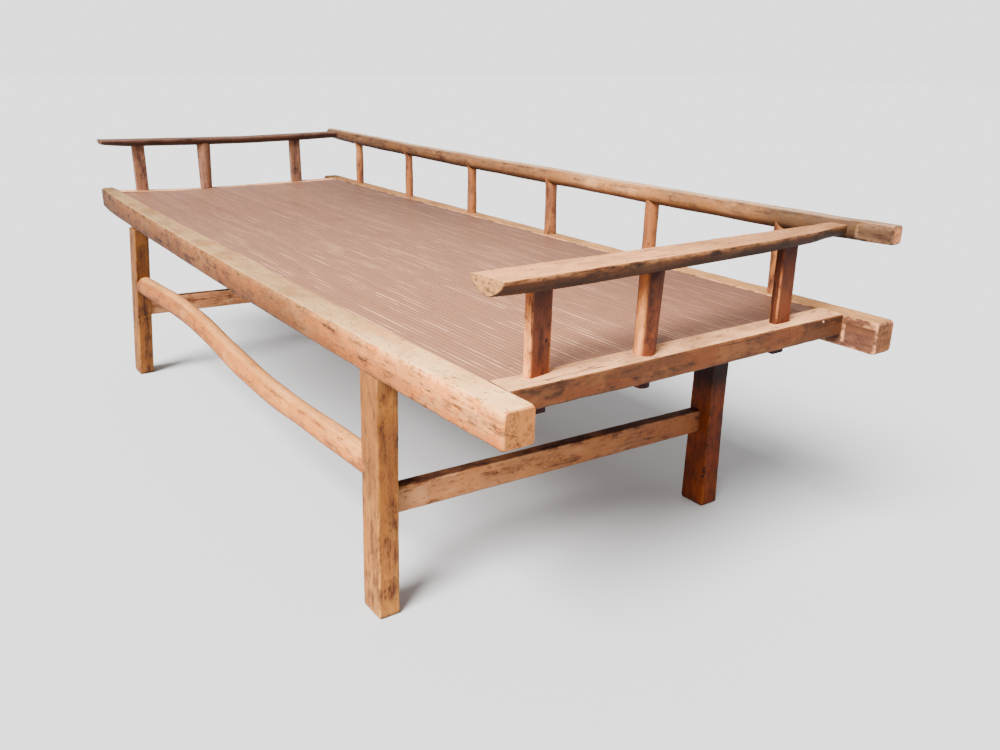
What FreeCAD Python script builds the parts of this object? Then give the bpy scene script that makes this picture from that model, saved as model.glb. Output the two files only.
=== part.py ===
"""A rustic daybed: a bamboo seat in a timber frame, with a low railing on three sides.

Millimetres. X runs along the bed, Y from the front to the back, Z up from the floor.
The origin is on the floor, under the middle of the bed.
"""
import FreeCAD, Part
import math
import os
import re

import Sketcher
from FreeCAD import Vector

# Driving dimensions, each with what it measures
SIZES = [
    ("rail_length", 2150, "overall length, that of the back rail"),
    ("front_rail_short", 13, "front rail's right end, short of the back rail's"),
    ("overall_depth", 806, "front foot to back rail"),
    ("foot_splay", 16, "how far a fully splayed foot steps out to the front"),
    ("foot_lean", 62, "how far a fully leaning foot steps out along the bed"),
    ("seat_height", 480, "floor to the top of the rails"),
    ("rail_height", 55, "long rails, top to bottom"),
    ("front_rail_seat_width", 54, "front rail, over the legs"),
    ("front_rail_middle_width", 58, "front rail, in the middle of its bow"),
    ("front_rail_end_width", 49, "front rail, at its ends"),
    ("back_rail_width", 49, "back rail"),
    ("rail_edge_round", 6, "worn long edges of the rails"),
    ("rail_end_round", 4, "worn edges round the rails' end grain"),
    ("left_horn", 48, "overall left end to the left end rail"),
    ("right_horn", 66, "overall right end to the right end rail"),
    ("end_rail_width", 49, "end rail, seen from above"),
    ("end_rail_height", 36, "end rail, top to bottom"),
    ("end_rail_lip", 12, "ledge of the end rail under the strips"),
    ("end_tenon_width", 38, "end rail's tenon, along the long rail"),
    ("end_tenon_height", 16, "end rail's tenon, top to bottom"),
    ("end_tenon_length", 32, "end rail's tenon, into the long rail"),
    ("leg_inset", 364, "overall end to the middle of a leg's top"),
    ("leg_width", 54, "leg at the rail, along the bed"),
    ("leg_foot_width", 55, "leg at the floor, along the bed"),
    ("front_leg_thickness", 37, "front legs, front to back"),
    ("back_leg_thickness", 43, "back legs, front to back"),
    ("back_leg_setback", 5, "back leg behind the rail's back face"),
    ("leg_edge_round", 5, "worn edges of the legs"),
    ("leg_tenon_width", 28, "leg's tenon, along the bed"),
    ("leg_tenon_thickness", 20, "leg's tenon, front to back"),
    ("leg_tenon_length", 38, "leg's tenon, up into the rail"),
    ("stretcher_height", 255, "middle of the front stretcher, straightened"),
    ("stretcher_bend", 28, "how far the bent pole leaves that line"),
    ("stretcher_radius", 25, "front stretcher"),
    ("stretcher_tenon_radius", 11, "round tenon of the front stretcher"),
    ("stretcher_tenon_length", 28, "its length in the leg"),
    ("end_stretcher_height", 47, "end stretchers, top to bottom"),
    ("end_stretcher_thickness", 26, "end stretchers, along the bed"),
    ("end_stretcher_front_level", 201, "their middle at the front leg"),
    ("end_stretcher_back_level", 184, "their middle at the back leg"),
    ("end_stretcher_offset", 6, "inboard of the middle of the front leg"),
    ("end_stretcher_round", 3, "worn edges of the end stretchers"),
    ("end_stretcher_tenon_height", 30, "tenon of an end stretcher"),
    ("end_stretcher_tenon_thickness", 14, "tenon of an end stretcher"),
    ("end_stretcher_tenon_length", 24, "its length in the leg"),
    ("bearer_width", 42, "bearers under the strips, along the bed"),
    ("bearer_height", 24, "bearers, top to bottom"),
    ("bearer_housing", 18, "how far a bearer is let into a long rail"),
    ("strip_thickness", 6, "bamboo strips"),
    ("strip_pitch", 9.6, "from one strip to the next, at most"),
    ("strip_gap", 1.1, "open joint between two strips"),
    ("back_lath_width", 23, "wide lath along the back rail"),
    ("handrail_clear_height", 136, "seat to the middle of the handrail at its lowest"),
    ("handrail_rise", 8, "how far its ends curve up"),
    ("handrail_radius", 17, "back handrail"),
    ("handrail_setback", 24, "middle of the handrail from the rail's back face"),
    ("back_post_radius", 14, "back posts"),
    ("post_tenon_radius", 8, "round tenons of the posts"),
    ("post_tenon_length", 34, "tenon of a back post in the rail"),
    ("post_top_tenon_length", 12, "tenon of a post past the rail's underside"),
    ("arm_line_inset", 28, "arm's middle from the end rail's outer face"),
    ("right_arm_width", 62, "right armrest"),
    ("right_arm_step", 12, "its flat top above the middle of the handrail"),
    ("right_arm_depth", 27, "right armrest, flat top to round underside"),
    ("right_arm_overhang", 20, "its tip in front of the front rail's inner face"),
    ("left_arm_width", 52, "left armrest"),
    ("left_arm_step", 13, "its flat top, at its lowest, above the middle of the handrail"),
    ("left_arm_rise", 6, "how far its ends curve up"),
    ("left_arm_depth", 21.5, "left armrest, flat top to round underside"),
    ("left_arm_overhang", 44, "its tip in front of the front rail's inner face"),
    ("arm_housing", 8, "how far an armrest is let into the handrail"),
    ("arm_tenon_width", 20, "tenon of an armrest in the handrail"),
    ("arm_tenon_height", 9, "tenon of an armrest in the handrail"),
    ("arm_tenon_length", 10, "its length past the housing"),
    ("arm_post_width", 16, "flat arm posts, along the bed"),
    ("arm_post_depth", 36, "flat arm posts, front to back"),
    ("arm_post_round", 2, "worn edges of the flat arm posts"),
    ("arm_post_radius", 16.5, "round arm posts in the middle"),
    ("arm_tongue_width", 11, "through tenon of an arm post, along the bed"),
    ("arm_tongue_depth", 28, "through tenon of an arm post, front to back"),
    ("arm_tongue_proud", 15, "through tenon below the end rail"),
    ("arm_top_tenon_length", 13, "arm post's tenon above the arm's underside"),
    ("nail_radius", 2.2, "bamboo nail"),
    ("nail_length", 22, "bamboo nail"),
    ("nail_proud", 0.6, "nail head outside the rail"),
    ("nail_drop", 4, "nail below the rail's top"),
    ("joint_gap", 0.2, "clearance round a tenon, each side"),
    ("scribe_gap", 0.3, "clearance where a post meets a round member"),
    ("socket_relief", 1.5, "empty end of a blind mortise"),
    ("cut_overrun", 10, "how far a cutting tool runs past a face"),
]

STRIP_GROUPS = ("front", "middle", "back")

# Bearers, in shares of the way from the left end rail to the right one
BEARER_SHARES = (0.175, 0.3375, 0.5, 0.6625, 0.825)

# Each leg's top in shares of leg_inset; its foot in shares of foot_lean and foot_splay
LEG_SHARES = {
    "front_left_leg": (1.06, -1.0, -1.0),
    "front_right_leg": (1.0, -0.12, -0.3),
    "back_left_leg": (1.06, -1.0, 0.0),
    "back_right_leg": (0.985, -0.1, 0.0),
}

# The bent pole: place along the half span, height in stretcher_bend, radius
STRETCHER_SHARES = [
    (-1.0, 0.39, 1.0), (-0.76, 0.64, 1.0), (-0.5, 0.92, 1.0), (-0.25, 0.8, 0.98), (-0.08, 0.39, 0.96),
    (0.09, 0.0, 0.94), (0.25, -0.25, 0.93), (0.41, -0.3, 0.92), (0.55, -0.18, 0.91), (0.79, 0.04, 0.9),
    (1.0, 0.18, 0.9),
]

# The handrail: place along half the overall length, height in handrail_rise, radius
HANDRAIL_SHARES = [
    (-0.989, 1.15, 0.88), (-0.831, 0.75, 1.04), (-0.45, 0.19, 0.98), (-0.156, 0.06, 0.99), (0.185, 0.22, 1.0),
    (0.444, 0.2, 0.94), (0.777, 0.25, 1.06), (0.927, 0.45, 1.0), (0.991, 0.8, 0.97),
]

# Back posts: place along half the overall length, radius in shares of back_post_radius
BACK_POST_SHARES = [
    (-0.788, 0.88), (-0.484, 0.87), (-0.165, 0.93), (0.157, 1.03), (0.473, 1.12), (0.786, 1.07),
]

# A round post's top, and its tenon, in shares of its foot
TAPER_SHARE = 0.94
TENON_SHARE = 0.75

# Armrests: place from the tip to the handrail, height, width and depth
RIGHT_ARM_SHARES = [
    (0.0, 0.0, 1.06, 1.0), (0.33, 0.0, 1.0, 1.0), (0.66, 0.0, 0.94, 0.9), (1.0, 0.0, 0.76, 0.82),
]
LEFT_ARM_SHARES = [
    (0.0, 1.0, 0.9, 0.55), (0.08, 0.9, 1.0, 0.9), (0.38, 0.35, 1.0, 1.0), (0.55, 0.1, 1.0, 0.98),
    (0.9, 0.7, 0.94, 1.0), (1.0, 0.9, 0.9, 0.9),
]

# Arm posts, in shares of the end rail's clear length from the front
ARM_POST_SHARES = {"front": 0.09, "middle": 0.373, "rear": 0.809}
NAIL_SHARE = 0.925

# Two places count as the same within this share of their size
MATCH_SHARE = 1e-6

doc = FreeCAD.newDocument("daybed")
sheet = doc.addObject("Spreadsheet::Sheet", "Dimensions")
for row, (alias, number, meaning) in enumerate(SIZES, start=1):
    sheet.set(f"A{row}", alias)
    sheet.set(f"B{row}", str(number))
    sheet.set(f"C{row}", meaning)
    sheet.setAlias(f"B{row}", alias)
doc.recompute()

nodes = {}


# Expressions are written with the sheet's own words


def formula(text):
    """An expression whose size names point at the sheet."""
    return re.sub(r"\b[a-z]+(?:_[a-z]+)+\b", r"Dimensions.\g<0>", text)


def value(text):
    return float(sheet.evalExpression(formula(text)))


def bind(thing, **expressions):
    """Bind properties; a double underscore in a name stands for a dot."""
    for name, text in expressions.items():
        thing.setExpression(name.replace("__", "."), formula(text))


# Places that several pieces share, worked out from the sizes
FRONT_FACE = "(-overall_depth / 2 + foot_splay)"
FRONT_INNER = f"({FRONT_FACE} + front_rail_seat_width)"
BACK_FACE = "(overall_depth / 2)"
BACK_INNER = f"({BACK_FACE} - back_rail_width)"
RAIL_BOTTOM = "(seat_height - rail_height)"
END_BOTTOM = "(seat_height - end_rail_height)"
HANDRAIL_LINE = f"({BACK_FACE} - handrail_setback)"
ARM_SEAT = f"({HANDRAIL_LINE} - handrail_radius + arm_housing)"
HANDRAIL_LEVEL = "(seat_height + handrail_clear_height)"
STRIP_BOTTOM = "(seat_height - strip_thickness)"
TENON_LEVEL = f"({END_BOTTOM} + end_tenon_height / 2 + rail_edge_round)"
FRONT_LEG_MIDDLE = f"({FRONT_FACE} + front_leg_thickness / 2)"
BACK_LEG_MIDDLE = f"({BACK_FACE} - back_leg_setback - back_leg_thickness / 2)"
FRONT_LEG_BACK = f"({FRONT_FACE} + front_leg_thickness)"
BACK_LEG_FRONT = f"({BACK_FACE} - back_leg_setback - back_leg_thickness)"


def end_outer(side):
    """Distance from the middle to the outer face of an end rail."""
    return f"(rail_length / 2 - {'left' if side < 0 else 'right'}_horn)"


def end_inner(side):
    return f"({end_outer(side)} - end_rail_width)"


def arm_line(side):
    return f"({side} * ({end_outer(side)} - arm_line_inset))"


def side_of(name):
    return -1 if "left" in name else 1


def leg_middle_y(name):
    return FRONT_LEG_MIDDLE if name.startswith("front") else BACK_LEG_MIDDLE


def leg_at(name, level):
    """Middle of a leg along X at a level."""
    inset, lean, _ = LEG_SHARES[name]
    top = f"{side_of(name)} * (rail_length / 2 - leg_inset * {inset})"
    return f"({top} + foot_lean * {lean} * (1 - ({level}) / {RAIL_BOTTOM}))"


# Building blocks


def new_body(name):
    return doc.addObject("PartDesign::Body", name)


def sketch_on(body, role, name, offset):
    """A sketch on one of the body's own origin planes, moved along its normal."""
    base = [feature for feature in body.Origin.OriginFeatures if feature.Role == role][0]
    sketch = body.newObject("Sketcher::SketchObject", name)
    sketch.AttachmentSupport = [(base, "")]
    sketch.MapMode = "FlatFace"
    bind(sketch, AttachmentOffset__Base__z=offset)
    return sketch


def constrain(sketch, kind, picks, text, name):
    index = sketch.addConstraint(Sketcher.Constraint(kind, *picks, value(text)))
    sketch.renameConstraint(index, name)
    bind(sketch, **{"Constraints__" + name: text})


def circle_section(sketch, across, up, radius):
    sketch.addGeometry(Part.Circle(Vector(value(across), value(up), 0), Vector(0, 0, 1), value(radius)))
    constrain(sketch, "Radius", (0,), radius, "size")
    constrain(sketch, "DistanceX", (-1, 1, 0, 3), across, "across")
    constrain(sketch, "DistanceY", (-1, 1, 0, 3), up, "up")


def rectangle_section(sketch, across, up, width, height):
    """A rectangle by its centre, with its four sides bound."""
    left, right = (value(f"{across} {sign} ({width}) / 2") for sign in "-+")
    low, high = (value(f"{up} {sign} ({height}) / 2") for sign in "-+")
    corners = [Vector(left, low, 0), Vector(right, low, 0), Vector(right, high, 0), Vector(left, high, 0)]
    for index, corner in enumerate(corners):
        sketch.addGeometry(Part.LineSegment(corner, corners[(index + 1) % len(corners)]))
    for index in range(len(corners)):
        sketch.addConstraint(Sketcher.Constraint("Coincident", index, 2, (index + 1) % len(corners), 1))
    for index in (0, 2):
        sketch.addConstraint(Sketcher.Constraint("Horizontal", index))
        sketch.addConstraint(Sketcher.Constraint("Vertical", index + 1))
    constrain(sketch, "DistanceX", (-1, 1, 0, 1), f"{across} - ({width}) / 2", "left")
    constrain(sketch, "DistanceX", (0, 1, 0, 2), width, "width")
    constrain(sketch, "DistanceY", (-1, 1, 0, 1), f"{up} - ({height}) / 2", "low")
    constrain(sketch, "DistanceY", (1, 1, 1, 2), height, "height")


def rounded_section(sketch, across, up, width, height, radius):
    """A rectangle by its centre, with equal rounded corners."""
    left, right = (value(f"{across} {sign} ({width}) / 2") for sign in "-+")
    low, high = (value(f"{up} {sign} ({height}) / 2") for sign in "-+")
    bend = value(radius)
    starts = [(left + bend, low), (right, low + bend), (right - bend, high), (left, high - bend)]
    ends = [(right - bend, low), (right, high - bend), (left + bend, high), (left, low + bend)]
    lower, upper = low + bend, high - bend
    centres = [(right - bend, lower), (right - bend, upper), (left + bend, upper), (left + bend, lower)]
    for start, end in zip(starts, ends):
        sketch.addGeometry(Part.LineSegment(Vector(*start, 0), Vector(*end, 0)))
    for index, centre in enumerate(centres):
        circle = Part.Circle(Vector(*centre, 0), Vector(0, 0, 1), bend)
        sketch.addGeometry(Part.ArcOfCircle(circle, math.pi / 2 * (index - 1), math.pi / 2 * index))
    for index in range(4):
        sketch.addConstraint(Sketcher.Constraint("Tangent", index, 2, 4 + index, 1))
        sketch.addConstraint(Sketcher.Constraint("Tangent", 4 + index, 2, (index + 1) % 4, 1))
    for index in (0, 2):
        sketch.addConstraint(Sketcher.Constraint("Horizontal", index))
        sketch.addConstraint(Sketcher.Constraint("Vertical", index + 1))
    for index in (5, 6, 7):
        sketch.addConstraint(Sketcher.Constraint("Equal", 4, index))
    constrain(sketch, "DistanceX", (-1, 1, 3, 1), f"{across} - ({width}) / 2", "left")
    constrain(sketch, "DistanceX", (3, 1, 1, 1), width, "width")
    constrain(sketch, "DistanceY", (-1, 1, 0, 1), f"{up} - ({height}) / 2", "low")
    constrain(sketch, "DistanceY", (0, 1, 2, 1), height, "height")
    constrain(sketch, "Radius", (4,), radius, "round")


def half_log_section(sketch, across, top, width, depth):
    """A flat top over a round underside."""
    half = value(width) / 2
    middle, level = value(across), value(top)
    start, end = Vector(middle - half, level, 0), Vector(middle + half, level, 0)
    sketch.addGeometry(Part.LineSegment(start, end))
    sketch.addGeometry(Part.Arc(start, Vector(middle, level - value(depth), 0), end))
    sketch.addConstraint(Sketcher.Constraint("Coincident", 0, 1, 1, 1))
    sketch.addConstraint(Sketcher.Constraint("Coincident", 0, 2, 1, 2))
    sketch.addConstraint(Sketcher.Constraint("Horizontal", 0))
    constrain(sketch, "DistanceX", (-1, 1, 0, 1), f"{across} - ({width}) / 2", "left")
    constrain(sketch, "DistanceY", (-1, 1, 0, 1), top, "top")
    constrain(sketch, "DistanceX", (0, 1, 0, 2), width, "width")
    constrain(sketch, "Radius", (1,), f"((({width}) / 2)^2 + ({depth})^2) / (2 * ({depth}))", "round")


def loft(body, sections):
    feature = body.newObject("PartDesign::AdditiveLoft", "shape")
    feature.Profile = sections[0]
    feature.Sections = sections[1:]


def pad(body, sketch, length):
    feature = body.newObject("PartDesign::Pad", "shape")
    feature.Profile = sketch
    bind(feature, Length=length)


def same(first, second):
    return math.isclose(first, second, rel_tol=MATCH_SHARE)


def fillet(body, radius, chosen):
    """Round the edges of the body that the test picks."""
    doc.recompute()
    base = body.Tip
    names = [f"Edge{index}" for index, edge in enumerate(base.Shape.Edges, start=1) if chosen(edge)]
    feature = body.newObject("PartDesign::Fillet", "worn_edges")
    feature.Base = (base, names)
    bind(feature, Radius=radius)


def block(kind, owner, name, centre, size):
    """A box by its centre, as a feature of a body."""
    feature = owner.newObject(kind, name)
    bind(feature, Length=size[0], Width=size[1], Height=size[2])
    for axis, middle, length in zip("xyz", centre, size):
        bind(feature, **{"Placement__Base__" + axis: f"({middle}) - ({length}) / 2"})


def tenon(body, joint):
    """The tenon of a joint: its centre and its size."""
    block("PartDesign::AdditiveBox", body, "tenon", *joint)


def mortise(body, joint, relief):
    """The same joint's mortise; relief names the axis along which it is deeper."""
    centre, size = joint
    grown = [f"({length}) + 2 * joint_gap" for length in size]
    if relief is not None:
        grown[relief] = f"({size[relief]}) + 2 * socket_relief"
    block("PartDesign::SubtractiveBox", body, "mortise", centre, grown)


def drill(body, name, radius, centre, length, along_x=False):
    """A round hole that starts at a point and runs up, or along X."""
    feature = body.newObject("PartDesign::SubtractiveCylinder", name)
    if along_x:
        feature.Placement = FreeCAD.Placement(Vector(), FreeCAD.Rotation(Vector(0, 1, 0), 90))
    bind(feature, Radius=radius, Height=length)
    for axis, text in zip("xyz", centre):
        bind(feature, **{"Placement__Base__" + axis: text})


def primitive(kind, name, centre, **sizes):
    thing = doc.addObject(kind, name)
    bind(thing, **sizes)
    for axis, text in zip("xyz", centre):
        bind(thing, **{"Placement__Base__" + axis: text})
    return thing


def cut(name, base, tool):
    thing = doc.addObject("Part::Cut", name)
    thing.Base = base
    thing.Tool = tool
    return thing


def fuse(name, pieces):
    thing = doc.addObject("Part::MultiFuse", name)
    thing.Shapes = pieces
    return thing


def keep(node, thing):
    """Name a finished piece and put it on the list that is written out."""
    thing.Label = node
    nodes[node] = thing


# Joints: the centre and the size of each tenon, used by both of its pieces


def end_rail_joint(side, face, towards):
    along = f"{side} * ({end_outer(side)} - end_rail_width / 2)"
    return (
        (along, f"{face} + {towards} * end_tenon_length / 2", TENON_LEVEL),
        ("end_tenon_width", "end_tenon_length", "end_tenon_height"),
    )


def leg_joint(name):
    return (
        (leg_at(name, RAIL_BOTTOM), leg_middle_y(name), f"{RAIL_BOTTOM} + leg_tenon_length / 2"),
        ("leg_tenon_width", "leg_tenon_thickness", "leg_tenon_length"),
    )


def bearer_line(share):
    left, right = f"-{end_inner(-1)}", end_inner(1)
    return f"({left} + ({right} - {left}) * {share})"


def arm_post_line(place):
    return f"({FRONT_INNER} + ({BACK_INNER} - {FRONT_INNER}) * {ARM_POST_SHARES[place]})"


def back_post_line(share):
    return f"(rail_length / 2 * {share})"


# Frame: two long rails, joined by two end rails


def outline_of_front_rail(sketch):
    """Straight inner edge, bowed outer edge."""
    left, right = value("-rail_length / 2"), value("rail_length / 2 - front_rail_short")
    inner = value(FRONT_INNER)
    end = inner - value("front_rail_end_width")
    middle = inner - value("front_rail_middle_width")
    bow = "(front_rail_middle_width - front_rail_end_width)"
    length = "(rail_length - front_rail_short)"
    sketch.addGeometry(Part.LineSegment(Vector(left, inner, 0), Vector(right, inner, 0)))
    sketch.addGeometry(Part.LineSegment(Vector(right, inner, 0), Vector(right, end, 0)))
    crown = Vector((left + right) / 2, middle, 0)
    sketch.addGeometry(Part.Arc(Vector(left, end, 0), crown, Vector(right, end, 0)))
    sketch.addGeometry(Part.LineSegment(Vector(left, end, 0), Vector(left, inner, 0)))
    for first, second in (((0, 2), (1, 1)), ((1, 2), (2, 2)), ((2, 1), (3, 1)), ((3, 2), (0, 1))):
        sketch.addConstraint(Sketcher.Constraint("Coincident", *first, *second))
    sketch.addConstraint(Sketcher.Constraint("Horizontal", 0))
    sketch.addConstraint(Sketcher.Constraint("Vertical", 1))
    sketch.addConstraint(Sketcher.Constraint("Vertical", 3))
    constrain(sketch, "DistanceX", (-1, 1, 0, 1), "-rail_length / 2", "left")
    constrain(sketch, "DistanceX", (0, 1, 0, 2), length, "length")
    constrain(sketch, "DistanceY", (-1, 1, 0, 1), FRONT_INNER, "inner")
    constrain(sketch, "DistanceY", (1, 2, 1, 1), "front_rail_end_width", "end_width")
    constrain(sketch, "Radius", (2,), f"(({length} / 2)^2 + {bow}^2) / (2 * {bow})", "bow")


def long_rail(name, side, inner):
    """A thick beam on edge, mortised for the end rails, legs and bearers."""
    body = new_body(name)
    sketch = sketch_on(body, "XY_Plane", "outline", RAIL_BOTTOM)
    if side < 0:
        outline_of_front_rail(sketch)
    else:
        middle = f"({BACK_FACE} - back_rail_width / 2)"
        rectangle_section(sketch, "0 * rail_length", middle, "rail_length", "back_rail_width")
    pad(body, sketch, "rail_height")
    reach = value("rail_length / 2")
    inner_line, top = value(inner), value("seat_height")

    def long_outer(edge):
        middle = edge.valueAt(edge.FirstParameter / 2 + edge.LastParameter / 2)
        inner_top = same(middle.y, inner_line) and same(middle.z, top)
        return edge.Length > reach and not inner_top

    fillet(body, "rail_edge_round", long_outer)
    for end in (-1, 1):
        mortise(body, end_rail_joint(end, inner, side), 1)
    for leg_name in LEG_SHARES:
        if leg_name.startswith("front") == (side < 0):
            mortise(body, leg_joint(leg_name), 2)
    for share in BEARER_SHARES:
        mortise(body, bearer_joint(share, inner, side), 1)
    if side > 0:
        for share, _ in BACK_POST_SHARES:
            place = (back_post_line(share), HANDRAIL_LINE, "seat_height - post_tenon_length - socket_relief")
            depth = "post_tenon_length + cut_overrun"
            drill(body, "post_hole", "post_tenon_radius + joint_gap", place, depth)
    keep(name, body)


def bearer_joint(share, inner, side):
    return (
        (bearer_line(share), f"{inner} + {side} * bearer_housing / 2", f"{STRIP_BOTTOM} - bearer_height / 2"),
        ("bearer_width", "bearer_housing", "bearer_height"),
    )


def end_rail(name, side):
    """A lighter rail with a ledge for the strips and through mortises for the arm posts."""
    body = new_body(name)
    sketch = sketch_on(body, "XY_Plane", "outline", END_BOTTOM)
    clear = f"({BACK_INNER} - {FRONT_INNER})"
    middle_y = f"({BACK_INNER} + {FRONT_INNER}) / 2"
    width = "(end_rail_width + end_rail_lip)"
    rectangle_section(sketch, f"{side} * ({end_outer(side)} - {width} / 2)", middle_y, width, clear)
    pad(body, sketch, "end_rail_height")
    lip = f"{side} * ({end_inner(side)} - (end_rail_lip + cut_overrun) / 2)"
    block(
        "PartDesign::SubtractiveBox", body, "ledge",
        (lip, middle_y, f"{STRIP_BOTTOM} + (strip_thickness + cut_overrun) / 2"),
        ("end_rail_lip + cut_overrun", f"{clear} + 2 * cut_overrun", "strip_thickness + cut_overrun"),
    )
    for face, towards in ((FRONT_INNER, -1), (BACK_INNER, 1)):
        tenon(body, end_rail_joint(side, face, towards))
    for place in ARM_POST_SHARES:
        if place == "middle":
            start = (arm_line(side), arm_post_line(place), f"{END_BOTTOM} - cut_overrun")
            depth = "end_rail_height + 2 * cut_overrun"
            drill(body, "post_hole", f"arm_post_radius * {TENON_SHARE} + joint_gap", start, depth)
        else:
            tongue = (
                (arm_line(side), arm_post_line(place), f"{END_BOTTOM} + end_rail_height / 2"),
                ("arm_tongue_width", "arm_tongue_depth", "end_rail_height + cut_overrun"),
            )
            mortise(body, tongue, None)
    if side > 0:
        drill(body, "nail_hole", "nail_radius", nail_start(), "nail_length + cut_overrun", along_x=True)
    keep(name, body)


def nail_start():
    along = f"{FRONT_INNER} + ({BACK_INNER} - {FRONT_INNER}) * {NAIL_SHARE}"
    return (f"{end_outer(1)} + nail_proud - nail_length", along, "seat_height - nail_drop")


long_rail("front_rail", -1, FRONT_INNER)
long_rail("back_rail", 1, BACK_INNER)
end_rail("left_end_rail", -1)
end_rail("right_end_rail", 1)

nail = primitive("Part::Cylinder", "nail", nail_start(), Radius="nail_radius", Height="nail_length")
nail.Placement.Rotation = FreeCAD.Rotation(Vector(0, 1, 0), 90)
keep("bamboo_nail", nail)


# Legs and stretchers


def front_leg(side):
    return "front_left_leg" if side < 0 else "front_right_leg"


def end_stretcher_line(side):
    return f"({leg_at(front_leg(side), 'end_stretcher_front_level')} - {side} * end_stretcher_offset)"


def end_stretcher_joint(side, front):
    """An end stretcher's tenon, in the back of the front leg or the front of the back leg."""
    level = "end_stretcher_front_level" if front else "end_stretcher_back_level"
    line = f"{FRONT_LEG_BACK} -" if front else f"{BACK_LEG_FRONT} +"
    return (
        (end_stretcher_line(side), f"{line} end_stretcher_tenon_length / 2", level),
        ("end_stretcher_tenon_thickness", "end_stretcher_tenon_length", "end_stretcher_tenon_height"),
    )


def pole_level(side):
    """Height of the front stretcher's middle where it meets a leg."""
    rise = STRETCHER_SHARES[0 if side < 0 else -1][1]
    return f"(stretcher_height + stretcher_bend * {rise})"


def pole_end(side):
    """Middle of a front leg at that height."""
    return leg_at(front_leg(side), pole_level(side))


def leg_shape(body, name):
    """A tapering leg that leans out a little towards its foot."""
    middle = leg_middle_y(name)
    depth = f"{name.split('_')[0]}_leg_thickness"
    top = sketch_on(body, "XY_Plane", "top_section", RAIL_BOTTOM)
    rounded_section(top, leg_at(name, RAIL_BOTTOM), middle, "leg_width", depth, "leg_edge_round")
    foot = sketch_on(body, "XY_Plane", "foot_section", "0 * leg_width")
    foot_x = leg_at(name, "0 * leg_width")
    foot_y = f"({middle} + foot_splay * {LEG_SHARES[name][2]})"
    rounded_section(foot, foot_x, foot_y, "leg_foot_width", depth, "leg_edge_round")
    loft(body, [foot, top])
    return body


def leg(name):
    body = leg_shape(new_body(name), name)
    side, front = side_of(name), name.startswith("front")
    tenon(body, leg_joint(name))
    mortise(body, end_stretcher_joint(side, front), 1)
    if front:
        reach = "leg_width" if side < 0 else "socket_relief"
        back = "socket_relief" if side < 0 else "leg_width"
        start = (f"{pole_end(side)} - {back}", FRONT_LEG_MIDDLE, pole_level(side))
        radius = "stretcher_tenon_radius + joint_gap"
        drill(body, "pole_hole", radius, start, f"{reach} + {back}", along_x=True)
    keep(name, body)


for leg_name in LEG_SHARES:
    leg(leg_name)
leg_spaces = {name: leg_shape(new_body(name + "_space"), name) for name in LEG_SHARES}


def pole(name, stations, place, level, step, radius, across, slack):
    """A natural pole along X, through round sections."""
    body = new_body(name)
    sections = []
    for index, (along, rise, girth) in enumerate(stations):
        sketch = sketch_on(body, "YZ_Plane", f"section_{index}", place(along))
        circle_section(sketch, across, f"{level} + {step} * {rise}", f"{radius} * {girth} + {slack}")
        sections.append(sketch)
    loft(body, sections)
    return body


def along_stretcher(share):
    left, right = pole_end(-1), pole_end(1)
    return f"{left} + ({right} - {left}) * {(share + 1) / 2}"


def front_stretcher():
    """The bent pole, scribed to the legs, with a round tenon whittled on each end."""
    stick = pole(
        "stretcher_pole", STRETCHER_SHARES, along_stretcher, "stretcher_height", "stretcher_bend",
        "stretcher_radius", FRONT_LEG_MIDDLE, "0 * joint_gap",
    )
    pieces = []
    for side in (-1, 1):
        stick = cut("scribed_pole", stick, leg_spaces[front_leg(side)])
        length = "(stretcher_tenon_length + cut_overrun)"
        start = pole_end(side) if side < 0 else f"{pole_end(side)} - {length}"
        place = (start, FRONT_LEG_MIDDLE, pole_level(side))
        end = primitive("Part::Cylinder", "pole_tenon", place, Radius="stretcher_tenon_radius", Height=length)
        end.Placement.Rotation = FreeCAD.Rotation(Vector(0, 1, 0), 90)
        pieces.append(end)
    keep("front_stretcher", fuse("front_stretcher", [stick] + pieces))


def end_stretcher(name, side):
    """A flat rail between a front and a back leg, scribed to both."""
    body = new_body(name + "_rail")
    back_leg = front_leg(side).replace("front", "back")
    slope = f"(end_stretcher_back_level - end_stretcher_front_level) / ({BACK_LEG_FRONT} - {FRONT_LEG_BACK})"
    reach = "foot_splay"
    ends = (
        (f"({FRONT_LEG_BACK} - {reach})", f"(end_stretcher_front_level - {reach} * {slope})"),
        (f"({BACK_LEG_FRONT} + {reach})", f"(end_stretcher_back_level + {reach} * {slope})"),
    )
    sections = []
    for index, (line, level) in enumerate(ends):
        sketch = sketch_on(body, "XZ_Plane", f"section_{index}", f"-{line}")
        size = ("end_stretcher_thickness", "end_stretcher_height", "end_stretcher_round")
        rounded_section(sketch, end_stretcher_line(side), level, *size)
        sections.append(sketch)
    loft(body, sections)
    scribed = cut(name + "_front", body, leg_spaces[front_leg(side)])
    scribed = cut(name + "_back", scribed, leg_spaces[back_leg])
    pieces = [scribed]
    for front in (True, False):
        (middle_x, middle_y, level), (thick, length, height) = end_stretcher_joint(side, front)
        inward = "cut_overrun" if front else "-cut_overrun"
        low_y = f"{middle_y} - {length} / 2 + ({inward} - cut_overrun) / 2"
        corner = (f"{middle_x} - {thick} / 2", low_y, f"{level} - {height} / 2")
        size = {"Length": thick, "Width": f"{length} + cut_overrun", "Height": height}
        pieces.append(primitive("Part::Box", "stretcher_tenon", corner, **size))
    keep(name, fuse(name, pieces))


front_stretcher()
end_stretcher("left_end_stretcher", -1)
end_stretcher("right_end_stretcher", 1)


# Seat: bearers across the frame, bamboo strips along it


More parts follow.
